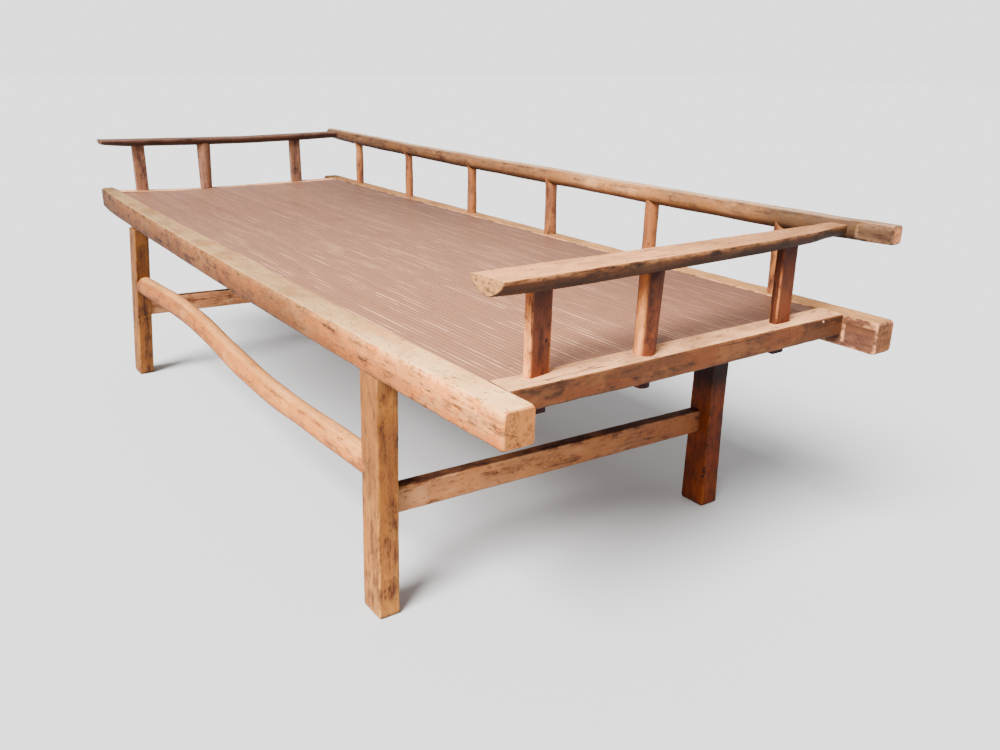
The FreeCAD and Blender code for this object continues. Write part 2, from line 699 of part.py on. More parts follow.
def bearer(index, share):
    middle_y, level = f"({BACK_INNER} + {FRONT_INNER}) / 2", f"{STRIP_BOTTOM} - bearer_height / 2"
    centre = (bearer_line(share), middle_y, level)
    size = ("bearer_width", f"{BACK_INNER} - {FRONT_INNER} + 2 * bearer_housing", "bearer_height")
    corner = [f"({middle}) - ({length}) / 2" for middle, length in zip(centre, size)]
    bar = primitive("Part::Box", "bearer", corner, Length=size[0], Width=size[1], Height=size[2])
    keep(f"bearer_{index}", bar)


for number, bearer_share in enumerate(BEARER_SHARES, start=1):
    bearer(number, bearer_share)

STRIP_FIELD = f"({BACK_INNER} - {FRONT_INNER} - back_lath_width)"
strip_count = int(value(f"{STRIP_FIELD} / strip_pitch")) + 1


def lath(name, low, width):
    """A lath that lies on the bearers, with its ends on the end rails' ledges."""
    corner = (f"-{end_inner(-1)} + strip_gap / 2", low, STRIP_BOTTOM)
    length = f"{end_inner(-1)} + {end_inner(1)} - strip_gap"
    return primitive("Part::Box", name, corner, Length=length, Width=width, Height="strip_thickness")


def strip(index):
    step = f"({STRIP_FIELD} / {strip_count})"
    return lath("strip", f"{FRONT_INNER} + {step} * {index} + strip_gap / 2", f"{step} - strip_gap")


def strip_group(place, first, last):
    group = doc.addObject("Part::Compound", f"strips_{place}")
    group.Links = [strip(index) for index in range(first, last)]
    keep(f"bamboo_strips_{place}", group)


for number, place_name in enumerate(STRIP_GROUPS):
    first_strip = strip_count * number // len(STRIP_GROUPS)
    strip_group(place_name, first_strip, strip_count * (number + 1) // len(STRIP_GROUPS))
back_lath = lath("back_lath", f"{BACK_INNER} - back_lath_width", "back_lath_width - strip_gap / 2")
keep("back_lath", back_lath)


# Railing: handrail on six posts, two armrests on three posts each


def handrail(name, slack):
    return pole(
        name, HANDRAIL_SHARES, back_post_line, HANDRAIL_LEVEL, "handrail_rise",
        "handrail_radius", HANDRAIL_LINE, slack,
    )


def arm_level(arm):
    return f"({HANDRAIL_LEVEL} + {arm}_arm_step)"


def arm_station(arm, share):
    tip = f"({FRONT_INNER} - {arm}_arm_overhang)"
    return f"({tip} + ({ARM_SEAT} - {tip}) * {share})"


def armrest(name, side, arm, shares, slack):
    """Half a log, flat side up, from its tip to the handrail."""
    body = new_body(name)
    rise = "left_arm_rise" if arm == "left" else "0 * left_arm_rise"
    sections = []
    for index, (along, lift, width, depth) in enumerate(shares):
        sketch = sketch_on(body, "XZ_Plane", f"section_{index}", f"-{arm_station(arm, along)}")
        half_log_section(
            sketch, arm_line(side), f"{arm_level(arm)} + {rise} * {lift}",
            f"({arm}_arm_width * {width} + 2 * {slack})", f"({arm}_arm_depth * {depth} + {slack})",
        )
        sections.append(sketch)
    loft(body, sections)
    return body


def arm_underside(arm, shares, share):
    """Height of the armrest's underside at a place, between its sections."""
    rise = "left_arm_rise" if arm == "left" else "0 * left_arm_rise"
    for (low, *start), (high, *end) in zip(shares, shares[1:]):
        if low <= share <= high:
            part = (share - low) / (high - low)
            lift = start[0] + (end[0] - start[0]) * part
            depth = start[2] + (end[2] - start[2]) * part
            return f"({arm_level(arm)} + {rise} * {lift:.6f} - {arm}_arm_depth * {depth:.6f})"
    raise ValueError(f"no part of the {arm} armrest is at {share}")


def arm_tenon_joint(side, arm, shares):
    level = f"({arm_level(arm)} - {arm}_arm_depth * {shares[-1][3] / 2})"
    return (
        (arm_line(side), f"{ARM_SEAT} + arm_tenon_length / 2", level),
        ("arm_tenon_width", "arm_tenon_length", "arm_tenon_height"),
    )


ARM_SHARES = {"left": LEFT_ARM_SHARES, "right": RIGHT_ARM_SHARES}

full_handrail = handrail("handrail_space", "scribe_gap")
handrail_body = handrail("back_handrail", "0 * scribe_gap")
for arm_name, arm_shares in ARM_SHARES.items():
    arm_side = side_of(arm_name)
    wide = f"({arm_name}_arm_width * {arm_shares[-1][2]} + 2 * joint_gap)"
    lift_word = "left_arm_rise" if arm_name == "left" else "0 * left_arm_rise"
    top_level = f"({arm_level(arm_name)} + {lift_word} * {arm_shares[-1][1]} + joint_gap)"
    housing_depth = "(arm_housing + cut_overrun)"
    block(
        "PartDesign::SubtractiveBox", handrail_body, "arm_housing",
        (arm_line(arm_side), f"{ARM_SEAT} - {housing_depth} / 2", f"{top_level} - handrail_radius"),
        (wide, housing_depth, "2 * handrail_radius"),
    )
    mortise(handrail_body, arm_tenon_joint(arm_side, arm_name, arm_shares), 1)
for post_share, _ in BACK_POST_SHARES:
    hole_level = f"{HANDRAIL_LEVEL} - handrail_radius - cut_overrun"
    hole_foot = (back_post_line(post_share), HANDRAIL_LINE, hole_level)
    drill(
        handrail_body, "post_hole", "post_tenon_radius + joint_gap", hole_foot,
        "cut_overrun + post_top_tenon_length + socket_relief + handrail_radius / 2",
    )
keep("back_handrail", handrail_body)


def back_post(index, share, girth):
    """A round stick: coped to the handrail above, tenoned at both ends."""
    foot = (back_post_line(share), HANDRAIL_LINE, "seat_height")
    stick = primitive(
        "Part::Cone", "stick", foot, Radius1=f"back_post_radius * {girth}",
        Radius2=f"back_post_radius * {girth * TAPER_SHARE:.6f}", Height="handrail_clear_height",
    )
    coped = cut(f"coped_{index}", stick, full_handrail)
    root = (back_post_line(share), HANDRAIL_LINE, "seat_height - post_tenon_length")
    top = f"{HANDRAIL_LEVEL} - handrail_radius + post_top_tenon_length"
    core = primitive(
        "Part::Cylinder", "core", root, Radius="post_tenon_radius",
        Height=f"{top} - seat_height + post_tenon_length",
    )
    keep(f"back_post_{index}", fuse(f"post_{index}", [coped, core]))


for number, (post_share, post_girth) in enumerate(BACK_POST_SHARES, start=1):
    back_post(number, post_share, post_girth)


def flat_post(line_x, line_y, top):
    """A flat stick with worn edges, up into the space of the armrest."""
    body = new_body("flat_stick")
    sketch = sketch_on(body, "XY_Plane", "section", "seat_height")
    rectangle_section(sketch, line_x, line_y, "arm_post_width", "arm_post_depth")
    pad(body, sketch, f"{top} - seat_height")
    rise = value(top) - value("seat_height")
    fillet(body, "arm_post_round", lambda edge: same(edge.Length, rise))
    return body


def arm_post(arm, side, place, shares, space):
    """A post from below the end rail to the armrest's underside."""
    name = f"{arm}_arm_post_{place}"
    line_x, line_y = arm_line(side), arm_post_line(place)
    tip = f"({FRONT_INNER} - {arm}_arm_overhang)"
    share = value(f"({line_y} - {tip}) / ({ARM_SEAT} - {tip})")
    under = arm_underside(arm, shares, share)
    top = f"({under} + {arm}_arm_depth / 2)"
    bottom = f"({END_BOTTOM} - arm_tongue_proud)"
    core_height = f"{under} + arm_top_tenon_length - {bottom}"
    if place == "middle":
        foot = (line_x, line_y, "seat_height")
        stick = primitive(
            "Part::Cone", "stick", foot, Radius1="arm_post_radius",
            Radius2=f"arm_post_radius * {TAPER_SHARE}", Height=f"{top} - seat_height",
        )
        root = (line_x, line_y, bottom)
        narrow = f"arm_post_radius * {TENON_SHARE}"
        core = primitive("Part::Cylinder", "core", root, Radius=narrow, Height=core_height)
    else:
        stick = flat_post(line_x, line_y, top)
        root = (f"{line_x} - arm_tongue_width / 2", f"{line_y} - arm_tongue_depth / 2", bottom)
        core = primitive(
            "Part::Box", "core", root,
            Length="arm_tongue_width", Width="arm_tongue_depth", Height=core_height,
        )
    coped = cut(name + "_coped", stick, space)
    keep(name, fuse(name, [coped, core]))
    return under


def build_arm(arm, side, shares):
    space = armrest(f"{arm}_arm_space", side, arm, shares, "scribe_gap")
    body = armrest(f"{arm}_armrest", side, arm, shares, "0 * scribe_gap")
    tenon(body, arm_tenon_joint(side, arm, shares))
    for place in ARM_POST_SHARES:
        under = arm_post(arm, side, place, shares, space)
        line_x, line_y = arm_line(side), arm_post_line(place)
        if place == "middle":
            foot = (line_x, line_y, f"{under} - cut_overrun")
            depth = "cut_overrun + arm_top_tenon_length + socket_relief"
            drill(body, "post_hole", f"arm_post_radius * {TENON_SHARE} + joint_gap", foot, depth)
        else:
            tall = "arm_top_tenon_length + socket_relief + cut_overrun"
            block(
                "PartDesign::SubtractiveBox", body, "post_mortise",
                (line_x, line_y, f"{under} - cut_overrun + ({tall}) / 2"),
                ("arm_tongue_width + 2 * joint_gap", "arm_tongue_depth + 2 * joint_gap", tall),
            )
    keep(f"{arm}_armrest", body)


for arm_name, arm_shares in ARM_SHARES.items():
    build_arm(arm_name, side_of(arm_name), arm_shares)


# Check every piece, then write it out

doc.recompute()
for thing in doc.Objects:
    if "Invalid" in thing.State or "Error" in thing.State:
        raise RuntimeError(f"{thing.Name} did not compute: {thing.State}")
for node, thing in nodes.items():
    if thing.Shape.isNull() or not thing.Shape.isValid():
        raise RuntimeError(f"{node} has no valid shape")

os.makedirs("parts", exist_ok=True)
for node, thing in nodes.items():
    thing.Shape.exportStep(f"parts/{node}.step")
    print(f"{node}: {len(thing.Shape.Solids)} solids, {thing.Shape.Volume / 1000:.1f} cm3")
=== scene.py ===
import math

import bmesh
import bpy
import numpy as np
from mathutils import Matrix, Vector, noise


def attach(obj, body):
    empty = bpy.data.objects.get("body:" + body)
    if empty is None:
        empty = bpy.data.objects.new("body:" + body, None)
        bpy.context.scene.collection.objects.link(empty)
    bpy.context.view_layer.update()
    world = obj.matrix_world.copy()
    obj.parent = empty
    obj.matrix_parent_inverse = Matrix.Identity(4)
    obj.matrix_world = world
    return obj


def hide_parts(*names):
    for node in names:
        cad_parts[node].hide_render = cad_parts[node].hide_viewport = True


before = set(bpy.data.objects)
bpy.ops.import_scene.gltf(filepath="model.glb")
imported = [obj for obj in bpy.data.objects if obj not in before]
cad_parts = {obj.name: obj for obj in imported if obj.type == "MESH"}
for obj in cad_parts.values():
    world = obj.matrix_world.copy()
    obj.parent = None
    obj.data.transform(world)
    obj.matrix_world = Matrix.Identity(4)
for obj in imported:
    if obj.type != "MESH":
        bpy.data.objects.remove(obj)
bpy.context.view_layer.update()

# FRONT RAIL
# A heavy plank on edge, bowed outwards and sagging a little with age, every arris worn round.
# The end rails, the bearers and the front legs are tenoned into it; its ends run on as horns.

MM = 0.001


def ring_of(corners, rounds, flats=(0.07, 0.36, 0.64, 0.93), bends=4):
    """Points round a section with rounded corners, and how worn each point is.

    flats are the shares of a straight side where it has points; bends divide each corner.
    """
    corners = [np.array(corner, float) for corner in corners]
    points, worn = [], []
    for index, corner in enumerate(corners):
        before = corners[index - 1] - corner
        after = corners[(index + 1) % len(corners)] - corner
        before, after = before / np.linalg.norm(before), after / np.linalg.norm(after)
        radius = rounds[index]
        if radius:
            half = math.acos(np.clip(before @ after, -1, 1)) / 2
            reach = radius / math.tan(half)
            start, end = corner + before * reach, corner + after * reach
            inwards = (before + after) / np.linalg.norm(before + after)
            middle = corner + inwards * radius / math.sin(half)
            first, last = start - middle, end - middle
            sweep = math.pi - 2 * half
            for bend in range(bends + 1):
                part = bend / bends
                mix = math.sin((1 - part) * sweep) * first + math.sin(part * sweep) * last
                points.append(middle + mix / math.sin(sweep))
                worn.append(math.sin(math.pi * (0.15 + 0.7 * part)))
        else:
            end = corner
            points.append(corner)
            worn.append(0.0)
        following = corners[(index + 1) % len(corners)]
        next_radius = rounds[(index + 1) % len(corners)]
        target = following - after * next_radius
        for flat in flats:
            points.append(end + (target - end) * flat)
            worn.append(0.0)
    return np.array(points), np.array(worn)


def box_ring(left, right, low, high, rounds):
    """A rectangle's ring; rounds go left-low, right-low, right-high, left-high."""
    return ring_of([(left, low), (right, low), (right, high), (left, high)], rounds)


def oval_ring(width, depth, square=2.0, count=28):
    """A ring between a circle (square 2) and a squared stick (square 6 or more)."""
    turns = np.arange(count) * 2 * math.pi / count + math.pi / count
    reach = (np.abs(np.cos(turns)) ** square + np.abs(np.sin(turns)) ** square) ** (-1 / square)
    corner = np.abs(np.sin(2 * turns)) ** 3 * min(1, (square - 2) / 4)
    points = [np.cos(turns) * reach * width / 2, np.sin(turns) * reach * depth / 2]
    return np.stack(points, 1), corner


def read(table, place, column=1):
    """What a table's column says at a place between its rows; the first column is the place."""
    return np.interp(place, [row[0] for row in table], [row[column] for row in table])


def tube_faces(rings, count):
    """The sides of a tube through rings of count points each, and its two ends."""
    faces = []
    for ring in range(rings - 1):
        for column in range(count):
            nearby = (column + 1) % count
            faces.append((ring * count + column, ring * count + nearby,
                          (ring + 1) * count + nearby, (ring + 1) * count + column))
    faces.append(tuple(reversed(range(count))))
    faces.append(tuple(range((rings - 1) * count, rings * count)))
    return faces


# Which ways a ring's two numbers point on timbers that lie along or across the bed, or stand up
LENGTHWISE = ((0, 1, 0), (0, 0, 1))
CROSSWISE = ((-1, 0, 0), (0, 0, 1))
UPRIGHT = ((1, 0, 0), (0, 1, 0))

ROUNDING = (0.0, 0.3, 0.6, 0.85, 1.0)
END_RINGS = (0.72, 0.4, 0.12)


def skin(name, stations, lie, pith=(0.03, 0.02), seed=0.0, dents=0.8, chips=1.0, chop=(3, 3)):
    """A worn timber through rings; each station is a place, in millimetres, and its ring.

    Wear only takes wood away. The mesh keeps its place in the grain, measured along the timber and
    from the pith, how worn each point is, and what is a cut end. chop rounds each cut end.
    """
    across, up = Vector(lie[0]), Vector(lie[1])
    places = np.array([place for place, _ in stations], float)
    rings = np.array([ring[0] for _, ring in stations])
    worn = np.array([ring[1] for _, ring in stations])
    along = np.concatenate([[0], np.cumsum(np.linalg.norm(np.diff(places, axis=0), axis=1))])
    step = np.roll(rings, -1, axis=1) - np.roll(rings, 1, axis=1)
    normals = np.stack([step[..., 1], -step[..., 0]], -1)
    normals /= np.linalg.norm(normals, axis=-1, keepdims=True) + 1e-9
    # long shallow dents all over, and short chips out of the worn edges
    for row in range(rings.shape[0]):
        for column in range(rings.shape[1]):
            u, v = rings[row, column]
            spot = Vector((along[row] * 0.006 + seed, u * 0.03, v * 0.03))
            loss = dents * (0.5 + 0.5 * noise.noise(spot))
            spot = Vector((along[row] * 0.035 - seed, u * 0.03 + 9, v * 0.03))
            loss += chips * worn[row, column] * (0.4 + max(0, noise.noise(spot)) * 2.5)
            rings[row, column] -= normals[row, column] * loss
    heading = (places[1] - places[0], places[-1] - places[-2])
    heading = [step / np.linalg.norm(step) for step in heading]
    # each cut end rolls over its edge, then closes in smaller rings
    layers = []
    for end, size in ((0, chop[0]), (-1, chop[1])):
        out = -heading[0] if end == 0 else heading[1]
        spread = np.abs(rings[end]).max()
        face, rows = places[end].copy(), []
        for part in ROUNDING:
            turn = part * math.pi / 2
            shift = out * size * (math.sin(turn) - 1)
            smaller = 1 - size * (1 - math.cos(turn)) / spread
            rows.append((face + shift, rings[end] * smaller, worn[end] + part))
        for part in END_RINGS:
            rows.append((face, rings[end] * part * (1 - size / spread), worn[end] * 0))
        layers.append((rows, along[end]))
    start = [(place, ring, wear, layers[0][1]) for place, ring, wear in reversed(layers[0][0])]
    body = [(places[row], rings[row], worn[row], along[row]) for row in range(1, len(places) - 1)]
    finish = [(place, ring, wear, layers[1][1]) for place, ring, wear in layers[1][0]]
    layers = start + body + finish
    verts, grain, wears, cuts = [], [], [], []
    flat_layers = len(END_RINGS) + 1
    for index, (place, ring, wear, length) in enumerate(layers):
        cap = index < flat_layers or index >= len(layers) - flat_layers
        out = Vector(-heading[0] if index < flat_layers else heading[1])
        for (u, v), rub in zip(ring, wear):
            spot = Vector(place) + across * float(u) + up * float(v)
            if cap and min(chop):
                rough = noise.noise(Vector((u * 0.12 + seed, v * 0.12, index * 0.1)))
                spot -= out * (0.5 + 0.5 * rough) * 0.7
            verts.append(spot * MM)
            grain.append((length * MM + seed, u * MM + pith[0], v * MM + pith[1]))
            wears.append(min(1.0, float(rub)))
            cuts.append(1.0 if cap else 0.0)
    faces = tube_faces(len(layers), rings.shape[1])
    return timber_object(name, verts, faces, grain, {"worn": wears, "cut": cuts})


def timber_object(name, verts, faces, grain, marks):
    """A mesh object that carries its grain and its marks, with its faces outwards."""
    mesh = bpy.data.meshes.new(name)
    mesh.from_pydata(verts, [], faces)
    grain_data = mesh.attributes.new("grain", "FLOAT_VECTOR", "POINT").data
    grain_data.foreach_set("vector", np.ravel(grain))
    for mark, values in marks.items():
        mesh.attributes.new(mark, "FLOAT", "POINT").data.foreach_set("value", values)
    work = bmesh.new()
    work.from_mesh(mesh)
    bmesh.ops.recalc_face_normals(work, faces=work.faces)
    work.to_mesh(mesh)
    work.free()
    mesh.shade_smooth()
    mesh.set_sharp_from_angle(angle=math.radians(50))
    thing = bpy.data.objects.new(name, mesh)
    bpy.context.scene.collection.objects.link(thing)
    return thing


def fit(thing, node, material):
    """The finished piece stands for its node."""
    if not thing.data.materials:
        thing.data.materials.append(material)
    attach(thing, "root")
    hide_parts(node)


class Socket:
    """One output of a material's nodes, with arithmetic."""

    def __init__(self, tree, socket=None):
        self.tree = tree
        self.socket = socket

    def node(self, kind, settings=None, inputs=None, output=0):
        made = self.tree.nodes.new(kind)
        for key, setting in (settings or {}).items():
            setattr(made, key, setting)
        for key, source in (inputs or {}).items():
            if isinstance(source, Socket):
                self.tree.links.new(source.socket, made.inputs[key])
            else:
                made.inputs[key].default_value = source
        return Socket(self.tree, made.outputs[output])

    def math(self, operation, *values):
        return self.node("ShaderNodeMath", {"operation": operation}, dict(enumerate(values)))

    def __add__(self, other):
        return self.math("ADD", self, other)

    def __sub__(self, other):
        return self.math("SUBTRACT", self, other)

    def __rsub__(self, other):
        return self.math("SUBTRACT", other, self)

    def __mul__(self, other):
        return self.math("MULTIPLY", self, other)

    __radd__, __rmul__ = __add__, __mul__

    def between(self, low, high):
        """0 below low, 1 above high, smooth in between."""
        return self.node(
            "ShaderNodeMapRange", {"interpolation_type": "SMOOTHSTEP"},
            {"Value": self, "From Min": low, "From Max": high},
        )

    def axis(self, number):
        """This vector's x, y or z."""
        return self.node("ShaderNodeSeparateXYZ", {}, {0: self}, output=number)

    def stretched(self, *factors):
        return self.node("ShaderNodeVectorMath", {"operation": "MULTIPLY"}, {0: self, 1: factors})

    def cloud(self, detail=3.0, rough=0.6, own=0.0):
        """Noise along this vector; own picks another pattern of the same kind."""
        return self.node(
            "ShaderNodeTexNoise", {"noise_dimensions": "4D"},
            {"Vector": self, "W": own, "Scale": 1.0, "Detail": detail, "Roughness": rough},
        )

    def mixed(self, first, second):
        """This value mixes two colours."""
        tones = (tone if isinstance(tone, Socket) else colour(tone) for tone in (first, second))
        inputs = dict(zip((0, 6, 7), (self, *tones)))
        return self.node("ShaderNodeMix", {"data_type": "RGBA"}, inputs, output=2)

    def tinted(self, tint, share=1.0):
        """This colour times another one."""
        settings = {"data_type": "RGBA", "blend_type": "MULTIPLY"}
        return self.node("ShaderNodeMix", settings, {0: share, 6: self, 7: tint}, output=2)


def colour(tone):
    """A colour written as six hex digits, as Blender's linear red, green and blue."""
    parts = [int(tone[place:place + 2], 16) / 255 for place in (0, 2, 4)]
    parts = [part / 12.92 if part < 0.04045 else ((part + 0.055) / 1.055) ** 2.4 for part in parts]
    return (*parts, 1.0)


def surface(material, tone, rough, bump, gloss):
    """Colour, roughness and bump of a material, and how strongly it shines."""
    shader = material.node_tree.nodes["Principled BSDF"]
    for key, source in (("Base Color", tone), ("Roughness", rough), ("Normal", bump)):
        material.node_tree.links.new(source.socket, shader.inputs[key])
    shader.inputs["Specular IOR Level"].default_value = gloss


def timber(
    name, tones, dust_and_top_shade=0.6, streaks=0.5, bleach=0.4, place_tints=(), ends=None, painted_front_light=0.0, outlined=0.12,
    knots=(),
):
    """Old unvarnished wood. tones run from dark grain through body colour to bleached, then the
    colour
    tops take: a dusted pale on most woods, painted shade on some. Faces turned down get painted
    shade.

    The tints by place each give an axis, where along it a tint is full, where it has gone, the
    tint, and the share of it that the top colour takes; each wood says which of its tints are
    painted light and shade. ends is the colour of a cut end; the front-light share paints light on
    what faces the front, less so far back; outlined draws the edges of old blotches; knots are dark
    spots, each a place and a radius.
    """
    dark, body, warm, pale, dust_and_top_shade_colour = tones
    material = bpy.data.materials.new(name)
    material.use_nodes = True
    start = Socket(material.node_tree)
    grain = start.node("ShaderNodeAttribute", {"attribute_name": "grain"}, output=1)
    worn = start.node("ShaderNodeAttribute", {"attribute_name": "worn"}, output=2)
    cut = start.node("ShaderNodeAttribute", {"attribute_name": "cut"}, output=2)
    place = start.node("ShaderNodeTexCoord", output=3)
    facing = start.node("ShaderNodeTexCoord", output=1)
    upward = facing.axis(2).between(0.72, 0.97)
    fibres = grain.stretched(6, 210, 210).cloud(5.0, 0.65)
    streaky = grain.stretched(3, 62, 62).cloud(4.0)
    blots = grain.stretched(9, 17, 17).cloud(5.0, 0.65)
    mottle = grain.stretched(30, 62, 62).cloud(4.0, 0.68, 3.7)
    patches = grain.stretched(15, 34, 34).cloud(5.0, 0.68, 9.1)
    specks = grain.stretched(85, 190, 190).cloud(2.0, 0.5)
    ridge = start.math("ABSOLUTE", grain.stretched(1.4, 33, 33).cloud(3.0, 0.5, 5.2) - 0.5)
    check = (1 - ridge.between(0.0, 0.006)) * blots.between(0.5, 0.6)
    tone = fibres * 0.3 + streaky * (0.2 + 0.3 * streaks) + mottle * 0.35
    wood = tone.between(0.35 + 0.13 * streaks, 0.46 + 0.16 * streaks).mixed(dark, body)
    wood = (patches.between(0.47, 0.57) * 0.75).mixed(wood, warm)
    wood = (blots.between(0.52, 0.62) * bleach).mixed(wood, pale)
    if painted_front_light:
        # Painted light: faces turned to the front are paled, less so towards the back.
        forward = (0.0 - facing.axis(1)).between(0.72, 0.97) * place.axis(1).between(0.22, -0.08)
        wood = (forward * painted_front_light * (0.6 + 0.4 * mottle.between(0.4, 0.6))).mixed(wood, pale)
    rubbed = worn * mottle.between(0.4, 0.6)
    wood = (rubbed * 0.65).mixed(wood, pale)
    # Painted shade: faces turned down are darkened.
    below = (0.0 - facing.axis(2)).between(0.0, 0.7)
    wood = (below * 0.75).mixed(wood, dark)
    outline = 1 - start.math("ABSOLUTE", mottle - 0.5).between(0.0, 0.022)
    wood = (outline * patches.between(0.42, 0.55) * outlined).mixed(wood, dark)
    # Tops take the fifth tone: a dusted pale on most woods, painted shade on some.
    dust_and_top_shade_mask = upward * (0.55 + 0.45 * blots.between(0.36, 0.56)) * dust_and_top_shade
    dust_and_top_shade_tone = (patches.between(0.46, 0.6) * 0.22).mixed(dust_and_top_shade_colour, body)
    # Tints by place, most of them painted light and shade, as each wood says.
    for axis, low, high, tint, lying in place_tints:
        along = place.axis(axis).between(low, high).mixed(tint, "ffffff")
        wood, dust_and_top_shade_tone = wood.tinted(along), dust_and_top_shade_tone.tinted(along, lying)
    wood = dust_and_top_shade_mask.mixed(wood, dust_and_top_shade_tone)
    wood = (fibres.between(0.54, 0.68) * 0.35).mixed(wood, dark)
    wood = (specks.between(0.6, 0.68) * 0.55).mixed(wood, dark)
    sawn = grain.stretched(9, 150, 150).cloud(4.0).between(0.4, 0.6).mixed(dark, ends or body)
    sawn = (patches.between(0.48, 0.58) * 0.6).mixed(sawn, ends or warm)
    if ends:
        sawn = (0.6 * mottle.between(0.3, 0.6)).mixed(sawn, ends)
    wood = (cut * 0.9).mixed(wood, sawn)
    wood = (check * 0.8).mixed(wood, "1d0d06")
    for spot, radius in knots:
        between_points = {"operation": "DISTANCE"}
        away = start.node("ShaderNodeVectorMath", between_points, {0: place, 1: spot}, output=1)
        wood = (0.9 - 0.9 * away.between(radius * 0.55, radius)).mixed(wood, "1a0904")
    rough = 0.64 + 0.2 * fibres + 0.1 * upward - 0.12 * rubbed
    height = fibres * 0.5 + mottle * 0.4 - specks.between(0.58, 0.72) * 0.5
    height = height - check * 1.6 + blots * 0.3
    bump = start.node("ShaderNodeBump", {}, {"Strength": 0.6, "Distance": 0.0013, "Height": height})
    surface(material, wood, rough, bump, 0.18)
    return material


# Painted light and shade by place: darker towards the left end, brightest at the right end, and the
# lower front face darker.
rail_wood = timber(
    "front rail wood", ("542911", "db8846", "ef8a39", "f9ad69", "ffca8b"),
    dust_and_top_shade=0.9, bleach=0.5, streaks=0.3, outlined=0.5, ends="9a612e",
    place_tints=(
        (0, -1.12, -0.7, "c0c4c4", 0.6), (0, 0.35, 1.0, "90908e", 0.8),
        (0, -0.6, 0.1, "d9d9d9", 0.8), (2, 0.425, 0.475, "b8aea4", 0.0),
    ),
)

FRONT_INNER = -333
FRONT_LEVEL = 450
FRONT_ENDS = (-1075, 1062)
# Places along the rail, and there its outer face, inner face, top and bottom
BOW = (
    (-1075, -373), (-950, -378.5), (-718, -382), (-503, -385.2), (-253, -388), (0, -389.6),
    (247, -389.8), (497, -389.4), (712, -388), (930, -385.4), (1062, -383.5),
)
INSIDE = ((-1075, -340), (-1030, -334), (-960, FRONT_INNER), (1062, FRONT_INNER))
CREST = (
    (-1075, 488.5), (-960, 485.5), (-718, 482.5), (-503, 481), (-253, 479.8), (0, 479),
    (250, 478.6), (500, 478.6), (715, 479.2), (1062, 481.5),
)
BELLY = ((-1075, 432), (-960, 428.5), (-718, 426), (0, 424), (715, 424.4), (1062, 426))

stations = []
for x in np.linspace(*FRONT_ENDS, 150):
    ring = box_ring(
        read(BOW, x) - FRONT_INNER, read(INSIDE, x) - FRONT_INNER,
        read(BELLY, x) - FRONT_LEVEL, read(CREST, x) - FRONT_LEVEL, (5, 4, 2.5, 7),
    )
    stations.append(((x, FRONT_INNER, FRONT_LEVEL), ring))
front_rail = skin(
    "front_rail_timber", stations, LENGTHWISE, pith=(0.05, 0.035), seed=1.3,
    dents=0.6, chips=0.5, chop=(4, 6),
)
fit(front_rail, "front_rail", rail_wood)

# BACK RAIL
# The same kind of plank, straight, with six holes along its top for the posts.
# Its right end runs on past the end rail as a squared horn, its left end as a shorter one.

# Painted shade by place: darker towards the left end.
back_rail_wood = timber(
    "back rail wood", ("2e160b", "513023", "603a22", "e69c6a", "ae7a47"), dust_and_top_shade=0.9, bleach=0.08,
    streaks=0.4, ends="6e4322", place_tints=((0, -1.6, 0.6, "a8a098", 1.0),),
)

BACK_LINE = 378.5
BACK_LEVEL = 452
# Places along the rail, and there its back and its top; its inner face and its bottom are straight
BACK_FACE = ((-1075, 403), (-600, 402), (0, 401.5), (600, 402.2), (1075, 403))
BACK_CREST = ((-1075, 481), (-300, 480), (300, 480), (1075, 481))
BACK_INNER, BACK_BOTTOM = -24.5, -27
HORN_START, HORN_STEP = 1010, 16.5

stations = []
for x in np.concatenate([
    np.linspace(-1075, 1000, 145), (1009, 1010.6, 1012, 1013.6, 1016), np.linspace(1022, 1075, 8),
]):
    back, top = read(BACK_FACE, x) - BACK_LINE, read(BACK_CREST, x) - BACK_LEVEL
    corners = [(BACK_INNER, BACK_BOTTOM), (back, BACK_BOTTOM), (back, top), (BACK_INNER, top)]
    ring, worn = ring_of(corners, (4, 6, 6, 2.5), (0.06, 0.13, 0.18, 0.23, 0.5, 0.93))
    if x > HORN_START:
        # the horn's front is dressed back below a shallow step, rubbed pale along its edges
        forward = ring[:, 0] < BACK_INNER + 0.5
        below = forward & (ring[:, 1] < HORN_STEP)
        ring[below, 0] += 1.6
        worn = worn + (forward & (np.abs(ring[:, 1] - HORN_STEP - 0.7) < 1.3))
        worn = worn + below * (abs(x - HORN_START - 2) < 1.7)
        worn = worn + 0.4 * (forward & (ring[:, 1] > HORN_STEP + 2.5))
    stations.append(((x, BACK_LINE, BACK_LEVEL), (ring, worn)))
back_rail = skin(
    "back_rail_timber", stations, LENGTHWISE, pith=(-0.04, 0.03), seed=5.1,
    dents=0.6, chips=0.5, chop=(4, 5),
)
fit(back_rail, "back_rail", back_rail_wood)

# END RAILS
# Two lighter rails tenoned between the long ones, with a ledge that carries the ends of the strips.
# The left one's top rises to the front rail and sags behind; the arm posts go right through both.

end_wood = timber(
    "end rail wood", ("2f170a", "502c16", "643418", "7c502c", "e3a270"), dust_and_top_shade=0.95, bleach=0.35,
    streaks=0.4,
)

SEAT = 480
CROSS_ENDS = (-335, 356)
# How far a rail's inner face and its ledge stand in from its outer face, and the ledge's level
RAIL_INNER, RAIL_LIP, LEDGE = 49, 61, -6.4
